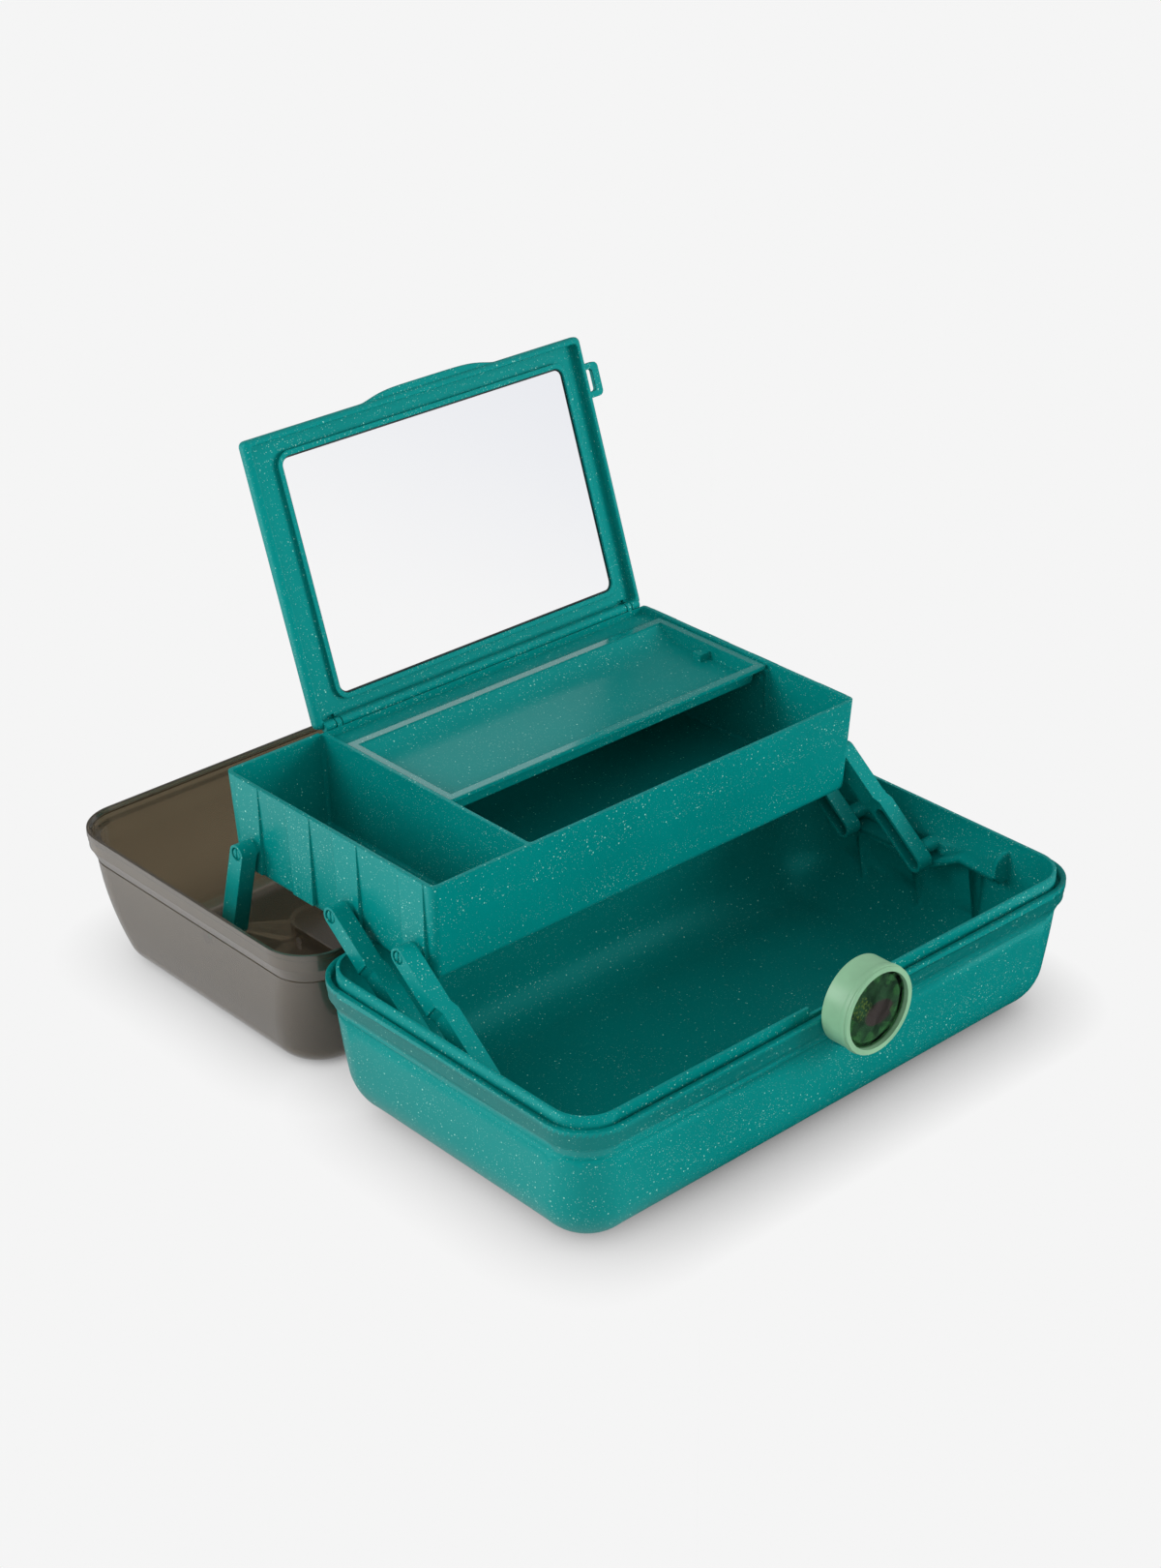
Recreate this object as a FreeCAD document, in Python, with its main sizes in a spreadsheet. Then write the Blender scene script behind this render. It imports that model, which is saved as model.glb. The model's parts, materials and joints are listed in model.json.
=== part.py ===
import FreeCAD, Part
import math
import os

import Sketcher
from FreeCAD import Placement, Rotation, Vector

# Cosmetics case with a lift-up tray.  The lid folds right over and lies on its back behind the
# base; parallel arms carry the tray up out of the base, and a mirror stands up from the tray.
# Millimetres, +Z up, origin in the middle of the base's underside, front of the case at -Y.

SIZES = {
    # base and lid shells, seen from the rim
    "case_length": 330.0, "case_depth": 188.0, "base_height": 72.0, "lid_height": 72.0,
    "shell_wall": 2.3, "shell_floor": 2.4, "plan_corner": 24.0,
    "rim_proud": 4.4, "rim_band": 9.2, "rim_flare": 8.0, "rim_step": 0.4,
    "rim_step_one": 3.2, "rim_step_two": 5.6,
    "base_lean": 2.4, "base_back_lean": 4.0, "base_round": 28.0,
    "lid_end_lean": 9.0, "lid_front_lean": 13.0, "lid_back_lean": 5.0, "lid_round": 14.0,
    "corner_growth": 14.0,
    "lip_inset": 4.9, "lip_height": 4.35, "lip_thick": 1.8, "lip_gap_width": 46.0,
    "groove_wall": 2.5, "groove_extra": 0.8, "rim_gap": 0.3, "rim_bevel": 1.4,
    # hinge between base and lid
    "hinge_space": 4.4, "hinge_pin_radius": 1.3, "knuckle_radius": 3.2, "hinge_inset": 69.0,
    "lid_knuckle_length": 14.0, "knuckle_leg": 3.4, "base_knuckle_length": 9.0, "play": 0.05, "knuckle_play": 0.4,
    # lift linkage
    "front_pivot_inset": 91.6, "base_pivot_z": 55.3, "arm_spacing": 48.7, "arm_length": 62.0,
    "arm_angle": 38.5, "arm_width": 9.4, "arm_thick": 9.0, "arm_joggle": 1.8, "arm_tail": 10.0,
    "joggle_at": 31.0, "joggle_ramp": 4.0, "joggle_ridge": 0.4, "channel_wall": 1.6, "channel_web": 2.2,
    "left_arm_gap": 11.4, "right_arm_gap": 9.8,
    "stud_radius": 1.8, "stud_head_radius": 2.5, "stud_head_thick": 1.2, "recess_radius": 3.4,
    "recess_depth": 1.5, "stud_slot": 1.2, "base_pin_radius": 2.0, "boss_radius": 4.0,
    "side_play": 0.3,
    "rear_arm_length": 47.4, "rear_arm_angle": 104.3, "rear_stud_inset": 21.0, "rear_stud_z": 3.2,
    # tray
    "tray_end_gap": 28.4, "tray_depth_gap": 34.8, "tray_height": 50.9, "tray_wall": 2.1,
    "tray_draft": 2.5, "tray_round": 4.0, "room_round": 2.0, "tray_floor": 2.1,
    "tray_ahead": 12.2, "tray_below": 14.9, "side_room_length": 58.2,
    "ledge_width": 2.2, "ledge_thick": 2.0, "ledge_drop": 3.6, "shelf_depth": 13.6,
    "pad_proud": 0.2, "pad_width": 15.0, "pad_flare": 3.2, "hook_ahead": 32.7, "hook_proud": 0.3,
    "hook_height": 8.0, "rib_thick": 1.8, "rib_proud": 1.6,
    # shallow tray that slides along the ledges
    "insert_front_gap": 56.8, "insert_rear_gap": 0.4, "insert_play": 0.5, "insert_rim": 3.2,
    "insert_rim_thick": 2.0, "insert_deep": 9.0, "insert_wall": 1.5, "scoop_radius": 25.0,
    "scoop_reach": 17.0, "peg_length": 7.0, "peg_width": 6.0, "peg_height": 4.0, "peg_behind": 39.0,
    # mirror
    "mirror_lean": 70.63, "mirror_back": 1.2, "mirror_up": 0.9, "mirror_overhang": 0.1,
    "mirror_past_wall": 1.1, "mirror_foot": 1.0, "mirror_tip": 143.5, "mirror_face": 0.6,
    "mirror_thick": 7.2, "mirror_plate": 2.4, "skirt": 3.4, "skirt_round": 0.7, "bead_width": 2.6,
    "bead_height": 2.2, "glass_left_border": 20.0, "glass_right_border": 14.7, "glass_low": 11.3,
    "glass_high": 130.5, "glass_thick": 1.5, "glass_corner": 5.0, "glass_play": 0.15,
    "glass_sunk": 0.7, "ear_thick": 3.0, "ear_left_inset": 11.5, "ear_right_inset": 10.7,
    "ear_radius": 2.5, "mirror_pin_radius": 1.2, "ear_play": 0.6, "mirror_knuckle": 4.0,
    "thumb_offset": 4.9, "thumb_half": 36.0, "thumb_rise": 1.0, "thumb_thick": 3.0, "mirror_round": 2.6,
    "loop_out": 11.0, "loop_low": 110.0, "loop_high": 128.0, "loop_wall": 4.4, "loop_rail": 3.2, "loop_root": 1.6,
    # round latch
    "latch_radius": 21.5, "latch_depth": 15.0, "latch_off": 1.0, "latch_up": 2.5,
    "latch_rim": 2.5, "disc_sunk": 1.8, "disc_thick": 1.6, "disc_seat": 2.0, "lens_thick": 0.6,
    "latch_back": 2.4, "latch_pin_radius": 1.2, "latch_pin_back": 3.0, "latch_pin_up": 3.2,
    "latch_ear_out": 7.5, "latch_ear_thick": 3.0, "latch_ear_radius": 2.6,
    # carrying handle, folded into the top of the lid
    "handle_side_gap": 2.0, "well_width": 60.0, "well_depth": 8.7, "well_corner": 12.0,
    "handle_length": 159.0, "handle_reach": 36.0, "handle_bar": 14.0, "handle_thick": 6.8,
    "handle_leg": 13.0, "handle_pin_radius": 2.0, "handle_rest_gap": 0.5, "handle_corner": 10.0,
    "handle_pivot_inset": 14.0, "seat_play": 0.02, "pin_seat": 6.0,
    # end brackets inside the base
    "bracket_depth": 15.4, "shelf_top": 50.0, "shelf_thick": 3.0, "shelf_behind": 5.7,
    "shelf_ahead": 7.6, "gusset_thick": 1.8, "gusset_drop": 34.0, "horn_ahead": 46.6,
    "horn_thick": 2.0, "horn_width": 26.0, "horn_top": 70.0,
}

doc = FreeCAD.newDocument("CosmeticsCase")
sheet = doc.addObject("Spreadsheet::Sheet", "Sizes")


class Size:
    """A number together with the sheet expression that gives it."""

    def __init__(self, value, text=None):
        self.value = float(value)
        self.text = text or "%.10g" % self.value

    def __float__(self):
        return self.value

    def __add__(self, other):
        other = size(other)
        return Size(self.value + other.value, "(%s + %s)" % (self.text, other.text))

    def __sub__(self, other):
        other = size(other)
        return Size(self.value - other.value, "(%s - %s)" % (self.text, other.text))

    def __mul__(self, other):
        other = size(other)
        return Size(self.value * other.value, "(%s * %s)" % (self.text, other.text))

    def __truediv__(self, other):
        other = size(other)
        return Size(self.value / other.value, "(%s / %s)" % (self.text, other.text))

    def __neg__(self):
        return Size(-self.value, "(-1 * %s)" % self.text)

    def __radd__(self, other):
        return size(other) + self

    def __rsub__(self, other):
        return size(other) - self

    def __rmul__(self, other):
        return size(other) * self


def size(item):
    return item if isinstance(item, Size) else Size(item)


def cosine(angle):
    return Size(math.cos(math.radians(angle.value)), "cos(%s * 1 deg)" % angle.text)


def sine(angle):
    return Size(math.sin(math.radians(angle.value)), "sin(%s * 1 deg)" % angle.text)


class Sheet:
    """Writes every size into the sheet and hands it back by name."""

    def __init__(self, sizes):
        for row, (name, value) in enumerate(sizes.items(), start=1):
            sheet.set("A%d" % row, name)
            sheet.set("B%d" % row, "%.10g" % value)
            sheet.setAlias("B%d" % row, name)
            setattr(self, name, Size(value, "Sizes." + name))


S = Sheet(SIZES)
doc.recompute()


# ---------------------------------------------------------------- small modelling helpers

def bind(thing, prop, value):
    thing.setExpression(prop, size(value).text)


def new_body(label):
    body = doc.addObject("PartDesign::Body", label)
    body.Label = label
    return body


def new_sketch(body, plane, offset=0.0):
    sketch = body.newObject("Sketcher::SketchObject", body.Name + "_sketch")
    origin = next(f for f in body.Origin.OriginFeatures if f.Role == plane + "_Plane")
    sketch.AttachmentSupport = [(origin, "")]
    sketch.MapMode = "FlatFace"
    sketch.AttachmentOffset = Placement(Vector(0, 0, float(size(offset))), Rotation())
    bind(sketch, "AttachmentOffset.Base.z", offset)
    return sketch


def constrain(sketch, kind, geo, point, value):
    """Ties a point's x or y (or an arc's radius) to a size."""
    value = size(value)
    if kind == "Radius":
        index = sketch.addConstraint(Sketcher.Constraint(kind, geo, value.value))
    else:
        index = sketch.addConstraint(Sketcher.Constraint(kind, -1, 1, geo, point, value.value))
    sketch.setExpression("Constraints[%d]" % index, value.text)


def rounded(sketch, x0, x1, y0, y1, radius):
    """Closed rectangle with equal rounded corners."""
    a, b, c, d, r = (float(size(v)) for v in (x0, x1, y0, y1, radius))
    half = math.pi / 2
    corners = ((b - r, c + r, -half), (b - r, d - r, 0.0), (a + r, d - r, half), (a + r, c + r, 2 * half))
    lines = ((a + r, c, b - r, c), (b, c + r, b, d - r), (b - r, d, a + r, d), (a, d - r, a, c + r))
    first = sketch.GeometryCount
    for (p, q, s, t), (u, v, start) in zip(lines, corners):
        sketch.addGeometry(Part.LineSegment(Vector(p, q, 0), Vector(s, t, 0)))
        circle = Part.Circle(Vector(u, v, 0), Vector(0, 0, 1), r)
        sketch.addGeometry(Part.ArcOfCircle(circle, start, start + half))
    rules = [Sketcher.Constraint("Tangent", first + i, 2, first + (i + 1) % 8, 1) for i in range(8)]
    rules += [Sketcher.Constraint("Horizontal", first), Sketcher.Constraint("Vertical", first + 2),
              Sketcher.Constraint("Horizontal", first + 4), Sketcher.Constraint("Vertical", first + 6)]
    rules += [Sketcher.Constraint("Equal", first + 1, first + i) for i in (3, 5, 7)]
    sketch.addConstraint(rules)
    constrain(sketch, "Radius", first + 1, 0, radius)
    constrain(sketch, "DistanceX", first + 6, 1, x0)
    constrain(sketch, "DistanceX", first + 2, 1, x1)
    constrain(sketch, "DistanceY", first, 1, y0)
    constrain(sketch, "DistanceY", first + 4, 1, y1)
    return sketch


def polygon(sketch, points):
    """Closed outline of straight lines through the given points."""
    spots = [Vector(float(size(x)), float(size(y)), 0) for x, y in points]
    count = len(spots)
    first = sketch.GeometryCount
    for i in range(count):
        sketch.addGeometry(Part.LineSegment(spots[i], spots[(i + 1) % count]))
    for i in range(count):
        sketch.addConstraint(Sketcher.Constraint("Coincident", first + i, 2, first + (i + 1) % count, 1))
    for i, (x, y) in enumerate(points):
        constrain(sketch, "DistanceX", first + i, 1, x)
        constrain(sketch, "DistanceY", first + i, 1, y)
    return sketch


def rectangle(sketch, x0, x1, y0, y1):
    return polygon(sketch, [(x0, y0), (x1, y0), (x1, y1), (x0, y1)])


def circle(sketch, x, y, radius):
    spot = Vector(float(size(x)), float(size(y)), 0)
    geo = sketch.addGeometry(Part.Circle(spot, Vector(0, 0, 1), float(size(radius))))
    constrain(sketch, "Radius", geo, 0, radius)
    constrain(sketch, "DistanceX", geo, 3, x)
    constrain(sketch, "DistanceY", geo, 3, y)
    return sketch


def slot(sketch, x0, y0, x1, y1, radius):
    """Straight bar with round ends centred on two points."""
    p = Vector(float(size(x0)), float(size(y0)), 0)
    q = Vector(float(size(x1)), float(size(y1)), 0)
    r = float(size(radius))
    along = math.atan2(q.y - p.y, q.x - p.x)
    side = Vector(-math.sin(along), math.cos(along), 0) * r
    first = sketch.GeometryCount
    near = Part.Circle(p, Vector(0, 0, 1), r)
    far = Part.Circle(q, Vector(0, 0, 1), r)
    sketch.addGeometry(Part.ArcOfCircle(near, along + math.pi / 2, along + 1.5 * math.pi))
    sketch.addGeometry(Part.LineSegment(p - side, q - side))
    sketch.addGeometry(Part.ArcOfCircle(far, along - math.pi / 2, along + math.pi / 2))
    sketch.addGeometry(Part.LineSegment(q + side, p + side))
    for i in range(4):
        sketch.addConstraint(Sketcher.Constraint("Tangent", first + i, 2, first + (i + 1) % 4, 1))
    constrain(sketch, "Radius", first, 0, radius)
    for geo, x, y in ((first, x0, y0), (first + 2, x1, y1)):
        constrain(sketch, "DistanceX", geo, 3, x)
        constrain(sketch, "DistanceY", geo, 3, y)
    return sketch


def pad(body, sketch, length):
    """Adds material from the sketch towards its own plane's positive side."""
    feature = body.newObject("PartDesign::Pad", body.Name + "_pad")
    feature.Profile = sketch
    bind(feature, "Length", length)
    sketch.Visibility = False
    return feature


def cut(body, sketch, length):
    """Removes material from the sketch towards its own plane's positive side."""
    feature = body.newObject("PartDesign::Pocket", body.Name + "_cut")
    feature.Profile = sketch
    feature.Reversed = True
    bind(feature, "Length", length)
    return feature


def loft(body, kind, sketches, ruled=False):
    feature = body.newObject("PartDesign::" + kind, body.Name + "_loft")
    feature.Profile = sketches[0]
    feature.Sections = [(item, "") for item in sketches[1:]]
    feature.Ruled = ruled
    return feature


def round_edges(body, radius, chosen, kind="Fillet"):
    """Rounds (or chamfers) the edges of the body's tip that the test picks."""
    doc.recompute()
    base = body.Tip
    names = ["Edge%d" % i for i, edge in enumerate(base.Shape.Edges, start=1) if chosen(edge)]
    feature = body.newObject("PartDesign::" + kind, body.Name + "_edges")
    feature.Base = (base, names)
    bind(feature, "Radius" if kind == "Fillet" else "Size", radius)
    return feature


def at_height(z):
    def test(edge):
        box = edge.BoundBox
        return abs(box.ZMin - float(z)) < 1e-4 and abs(box.ZMax - float(z)) < 1e-4
    return test


def cylinder(label, axis, radius, length, centre, start):
    """Round bar along X or Y through a centre point, from a start value on."""
    bar = doc.addObject("Part::Cylinder", label)
    bar.Label = label
    bind(bar, "Radius", radius)
    bind(bar, "Height", length)
    if axis == "X":
        bar.Placement = Placement(Vector(), Rotation(Vector(0, 1, 0), 90))
        spot = (start, centre[0], centre[1])
    else:
        bar.Placement = Placement(Vector(), Rotation(Vector(1, 0, 0), -90))
        spot = (centre[0], start, centre[1])
    for name, value in zip("xyz", spot):
        bind(bar, "Placement.Base." + name, value)
    return bar


def boolean(kind, label, shapes):
    """Fuse, common or cut of whole objects; the first is what a cut starts from."""
    if kind == "Cut":
        feature = doc.addObject("Part::Cut", label)
        feature.Base, feature.Tool = shapes
    elif kind == "Common":
        feature = doc.addObject("Part::MultiCommon", label)
        feature.Shapes = shapes
    elif kind == "Fuse":
        feature = doc.addObject("Part::MultiFuse", label)
        feature.Shapes = shapes
    else:
        feature = doc.addObject("Part::Compound", label)
        feature.Links = shapes
    feature.Label = label
    return feature


# ---------------------------------------------------------------- places shared by the pieces

half_length = S.case_length / 2
half_depth = S.case_depth / 2
hinge_y = half_depth + S.hinge_space / 2
hinge_z = S.base_height + S.rim_gap / 2
lid_near = half_depth + S.hinge_space
lid_far = lid_near + S.case_depth
lid_middle = lid_near + half_depth
hinge_station = half_length - S.hinge_inset
bracket_face = half_length - S.bracket_depth
well_length = S.handle_length + 2 * S.handle_side_gap

front_pivot_y = S.front_pivot_inset - half_depth
front_stud_y = front_pivot_y + S.arm_length * cosine(S.arm_angle)
stud_z = S.base_pivot_z + S.arm_length * sine(S.arm_angle)
middle_stud_y = front_stud_y + S.arm_spacing
middle_pivot_y = front_pivot_y + S.arm_spacing
tray_half = half_length - S.tray_end_gap
tray_front = front_stud_y - S.tray_ahead
tray_rear = tray_front + S.case_depth - S.tray_depth_gap
rear_stud_y = tray_rear - S.rear_stud_inset
rear_stud_z = stud_z + S.rear_stud_z
lid_pivot_y = rear_stud_y - S.rear_arm_length * cosine(S.rear_arm_angle)
lid_pivot_z = rear_stud_z - S.rear_arm_length * sine(S.rear_arm_angle)

tray_bottom = stud_z - S.tray_below
tray_top = tray_bottom + S.tray_height

partition_x = S.side_room_length - tray_half
mirror_left = partition_x - S.mirror_past_wall
mirror_right = tray_half + S.mirror_overhang
glass_left = mirror_left + S.glass_left_border
glass_right = mirror_right - S.glass_right_border
ear_left = mirror_left + S.ear_left_inset
ear_right = mirror_right - S.ear_right_inset
mirror_y = tray_rear + S.mirror_back
mirror_z = tray_top + S.mirror_up

latch_z = S.base_height + S.latch_up
latch_rear = -half_depth - S.latch_off
latch_front = latch_rear - S.latch_depth
latch_pin_y = latch_rear - S.latch_pin_back
latch_pin_z = latch_z - S.latch_radius + S.latch_pin_up


# ---------------------------------------------------------------- shells

wall_top = S.base_height - S.rim_band - S.rim_flare


def shell_form(label, inset, floor, bottom_radius, leans, middle):
    """Cup-shaped solid: walls that lean further in and turn rounder in plan towards the bottom."""
    body = new_body(label)
    ends_lean, front_lean, back_lean = leans
    sketches = []
    for share in (0.0, 0.5, 1.0):
        level = wall_top - (wall_top - floor) * share
        bend = share * share
        ends = inset + ends_lean * bend
        corner = S.plan_corner - ends + S.corner_growth * share
        sketches.append(rounded(new_sketch(body, "XY", level), ends - half_length,
                                half_length - ends, middle - half_depth + inset + front_lean * bend,
                                middle + half_depth - inset - back_lean * bend, corner))
    loft(body, "AdditiveLoft", sketches)
    round_edges(body, bottom_radius, at_height(floor))
    return body


def rim_band(body, middle, rim_z):
    """Flared rim band: flare, then two fine steps up to the full outline."""
    levels = (rim_z - S.rim_band - S.rim_flare, rim_z - S.rim_band)
    insets = (S.rim_proud + 0.3, S.rim_step * 3)
    sketches = []
    for level, inset in zip(levels, insets):
        sketch = new_sketch(body, "XY", level)
        sketches.append(rounded(sketch, inset - half_length, half_length - inset,
                                middle - half_depth + inset, middle + half_depth - inset,
                                S.plan_corner - inset))
    loft(body, "AdditiveLoft", sketches, ruled=True)
    for low, high, inset in ((S.rim_band, S.rim_step_two, S.rim_step * 2),
                             (S.rim_step_two, S.rim_step_one, S.rim_step),
                             (S.rim_step_one, Size(0.0), Size(0.0))):
        sketch = new_sketch(body, "XY", rim_z - low)
        rounded(sketch, inset - half_length, half_length - inset, middle - half_depth + inset,
                middle + half_depth - inset, S.plan_corner - inset)
        pad(body, sketch, low - high)


def inset_rect(sketch, inset, middle):
    return rounded(sketch, inset - half_length, half_length - inset, middle - half_depth + inset,
                   middle + half_depth - inset, S.plan_corner - inset)


# ---- base: outer form, then the hollow, then the end brackets

base_leans = (S.base_lean, S.base_lean, S.base_back_lean)
base_outer = shell_form("base_outer", S.rim_proud, Size(0.0), S.base_round, base_leans, Size(0.0))
rim_band(base_outer, Size(0.0), S.base_height)
pad(base_outer, inset_rect(new_sketch(base_outer, "XY", S.base_height), S.lip_inset, Size(0.0)),
    S.lip_height)

inner_inset = S.lip_inset + S.lip_thick
base_hollow = shell_form("base_hollow", inner_inset, S.shell_floor, S.base_round - S.shell_wall,
                         base_leans, Size(0.0))
pad(base_hollow, inset_rect(new_sketch(base_hollow, "XY", wall_top), inner_inset, Size(0.0)),
    S.base_height + S.lip_height + 2.0 - wall_top)

base_cup = boolean("Cut", "base_cup", [base_outer, base_hollow])



def block(label, x0, x1, y0, y1, z0, z1):
    """Plain box between two corners."""
    box = doc.addObject("Part::Box", label)
    box.Label = label
    for prop, value in (("Length", size(x1) - x0), ("Width", size(y1) - y0), ("Height", size(z1) - z0)):
        bind(box, prop, value)
    for name, value in zip("xyz", (x0, y0, z0)):
        bind(box, "Placement.Base." + name, value)
    return box


def end_pads(body, draw):
    """Pads the same YZ outline outwards from the bracket face at both ends of the case."""
    reach = half_length - bracket_face
    for start in (-half_length, bracket_face):
        sketch = new_sketch(body, "YZ", start)
        draw(sketch)
        pad(body, sketch, reach)


# Arms: the lower part is stepped sideways from the upper part by the joggle, to the right on
# both ends of the case.  Each side gives the x of an arm's low face and which way is outwards.
SIDES = {
    "left": {"low": -(tray_half + S.left_arm_gap), "out": -1},
    "right": {"low": tray_half + S.right_arm_gap - S.arm_thick, "out": 1},
}


def outer_face(side, joggle):
    """x of an arm's outer face at the given sideways step."""
    low = SIDES[side]["low"] + joggle
    return low if SIDES[side]["out"] < 0 else low + S.arm_thick


def along_x(label, radius, first, second, centre):
    """Round bar along X between two x values given in any order."""
    low, high = (first, second) if float(first) < float(second) else (second, first)
    return cylinder(label, "X", radius, high - low, centre, low)


front_pivot = (front_pivot_y, S.base_pivot_z)
middle_pivot = (middle_pivot_y, S.base_pivot_z)
lid_pivot = (lid_pivot_y, lid_pivot_z)
front_stud = (front_stud_y, stud_z)
middle_stud = (middle_stud_y, stud_z)
rear_stud = (rear_stud_y, rear_stud_z)

shelf_front = front_pivot_y - S.shelf_ahead
shelf_back = middle_pivot_y + S.shelf_behind
horn_y = front_pivot_y - S.horn_ahead
base_fittings = new_body("base_fittings")
end_pads(base_fittings, lambda sketch: rectangle(
    sketch, shelf_front, shelf_back, S.shelf_top - S.shelf_thick, S.shelf_top))
rail_foot = shelf_front + 1.0
rail_rise = S.shelf_top + 10.0
end_pads(base_fittings, lambda sketch: polygon(sketch, [
    (rail_foot, S.shelf_top - S.shelf_thick), (rail_foot, S.shelf_top),
    (rail_foot - 17.0, rail_rise), (horn_y, rail_rise - 1.5),
    (horn_y, rail_rise - 1.5 - S.shelf_thick), (rail_foot - 18.0, rail_rise - S.shelf_thick)]))
for gusset_y in (middle_pivot_y - 4.0, front_pivot_y + 7.0, horn_y + 16.0):
    top = S.shelf_top - 0.5 if float(gusset_y) > float(shelf_front) else rail_rise - 1.0
    for mirror in (-1, 1):
        sketch = new_sketch(base_fittings, "XZ", -gusset_y)
        polygon(sketch, [(mirror * bracket_face, top), (mirror * half_length, top),
                         (mirror * half_length, top - S.gusset_drop),
                         (mirror * (bracket_face + 6.0), top - S.gusset_drop)])
        pad(base_fittings, sketch, S.gusset_thick)
for mirror in (-1, 1):
    sketch = new_sketch(base_fittings, "XZ", -horn_y)
    polygon(sketch, [(mirror * bracket_face, S.horn_top - 5.0),
                     (mirror * (bracket_face + 4.0), S.horn_top),
                     (mirror * half_length, S.horn_top), (mirror * half_length, S.horn_top - 16.0),
                     (mirror * (bracket_face + 3.0), S.horn_top - 16.0),
                     (mirror * bracket_face, S.horn_top - 12.0)])
    pad(base_fittings, sketch, S.horn_thick)

base_bosses = []
base_boss_bores = []
for side in SIDES:
    out = SIDES[side]["out"]
    face = outer_face(side, S.arm_joggle) + out * S.side_play
    for name, spot in (("front", front_pivot), ("middle", middle_pivot)):
        base_bosses.append(along_x("base_boss_%s_%s" % (name, side), S.boss_radius, face,
                                   out * half_length, spot))
        base_boss_bores.append(along_x("base_bore_%s_%s" % (name, side),
                                       S.base_pin_radius + S.seat_play, face,
                                       face + out * S.pin_seat, spot))
fittings = boolean("Fuse", "base_fitting_set", [base_fittings] + base_bosses)
trimmed = boolean("Common", "base_fittings_trimmed", [fittings, base_outer])


def hinge_knuckles(body, leg_side, spans):
    """Knuckles round the lid hinge, each on a leg that runs down to its own rim."""
    for start, length in spans:
        sketch = new_sketch(body, "YZ", start)
        slot(sketch, hinge_y + leg_side * S.knuckle_leg, hinge_z - 6.0, hinge_y, hinge_z,
             S.knuckle_radius)
        pad(body, sketch, length)


lid_half = S.lid_knuckle_length / 2
knuckle_step = lid_half + S.side_play
lid_spans = [(station - lid_half, S.lid_knuckle_length)
             for station in (-hinge_station, hinge_station)]
base_spans = []
for station in (-hinge_station, hinge_station):
    base_spans.append((station - knuckle_step - S.base_knuckle_length, S.base_knuckle_length))
    base_spans.append((station + knuckle_step, S.base_knuckle_length))

base_knuckles = new_body("base_knuckles")
hinge_knuckles(base_knuckles, -1, base_spans)


def hinge_clearances(prefix, spans):
    """Round clearances for the other part's knuckles."""
    return [cylinder("%s_%d" % (prefix, i), "X", S.knuckle_radius + S.knuckle_play,
                     length + 2 * S.side_play, (hinge_y, hinge_z), start - S.side_play)
            for i, (start, length) in enumerate(spans)]


def hinge_bars(prefix, radius):
    reach = lid_half + S.side_play + S.base_knuckle_length
    return [cylinder("%s_%d" % (prefix, i), "X", radius, reach * 2, (hinge_y, hinge_z),
                     station - reach)
            for i, station in enumerate((-hinge_station, hinge_station))]


latch_ears = new_body("latch_ears")
for start in (-S.latch_ear_out - S.latch_ear_thick / 2, S.latch_ear_out - S.latch_ear_thick / 2):
    sketch = new_sketch(latch_ears, "YZ", start)
    slot(sketch, S.rim_proud + 2.0 - half_depth, latch_pin_z - 2.0, latch_pin_y, latch_pin_z,
         S.latch_ear_radius)
    pad(latch_ears, sketch, S.latch_ear_thick)
latch_pin_reach = S.latch_ear_out + S.latch_ear_thick

lip_gap = block("lip_gap", -S.lip_gap_width / 2, S.lip_gap_width / 2, -half_depth,
                S.lip_inset + S.lip_thick + 2.0 - half_depth, S.base_height,
                S.base_height + S.lip_height + 1.0)
base_bored = boolean("Fuse", "base_removed", [lip_gap] + hinge_clearances("lid_knuckle_room", lid_spans)
                     + base_boss_bores + [cylinder("latch_ear_bore", "X",
                                                   S.latch_pin_radius + S.seat_play,
                                                   latch_pin_reach * 2,
                                                   (latch_pin_y, latch_pin_z), -latch_pin_reach)])
knuckles_in_base = boolean("Cut", "base_knuckles_bored", [
    base_knuckles, boolean("Compound", "base_hinge_bores",
                           hinge_bars("base_hinge_bore", S.hinge_pin_radius + S.seat_play))])
base_whole = boolean("Fuse", "base_whole", [base_cup, trimmed, latch_ears])
base_cut = boolean("Cut", "base_cut", [base_whole, base_bored])
base_shell = boolean("Fuse", "base_shell", [base_cut, knuckles_in_base])


# ---- lid, drawn as it lies open on its back behind the base

lid_leans = (S.lid_end_lean, S.lid_back_lean, S.lid_front_lean)
lid_outer = shell_form("lid_outer", S.rim_proud, Size(0.0), S.lid_round, lid_leans, lid_middle)
rim_band(lid_outer, lid_middle, S.base_height)

lid_hollow = shell_form("lid_hollow", inner_inset, S.shell_floor, S.lid_round - S.shell_wall,
                        lid_leans, lid_middle)
pad(lid_hollow, inset_rect(new_sketch(lid_hollow, "XY", wall_top), inner_inset, lid_middle),
    S.base_height + 2.0 - wall_top)
groove_depth = S.lip_height + S.groove_extra
pad(lid_hollow, inset_rect(new_sketch(lid_hollow, "XY", S.base_height - groove_depth),
                           S.groove_wall, lid_middle), groove_depth + 2.0)
loft(lid_hollow, "AdditiveLoft", [
    inset_rect(new_sketch(lid_hollow, "XY", S.base_height - S.rim_bevel), S.groove_wall, lid_middle),
    inset_rect(new_sketch(lid_hollow, "XY", S.base_height + S.rim_bevel),
               S.groove_wall - S.rim_bevel * 1.6, lid_middle)], ruled=True)
lid_cup = boolean("Cut", "lid_cup", [lid_outer, lid_hollow])

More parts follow.
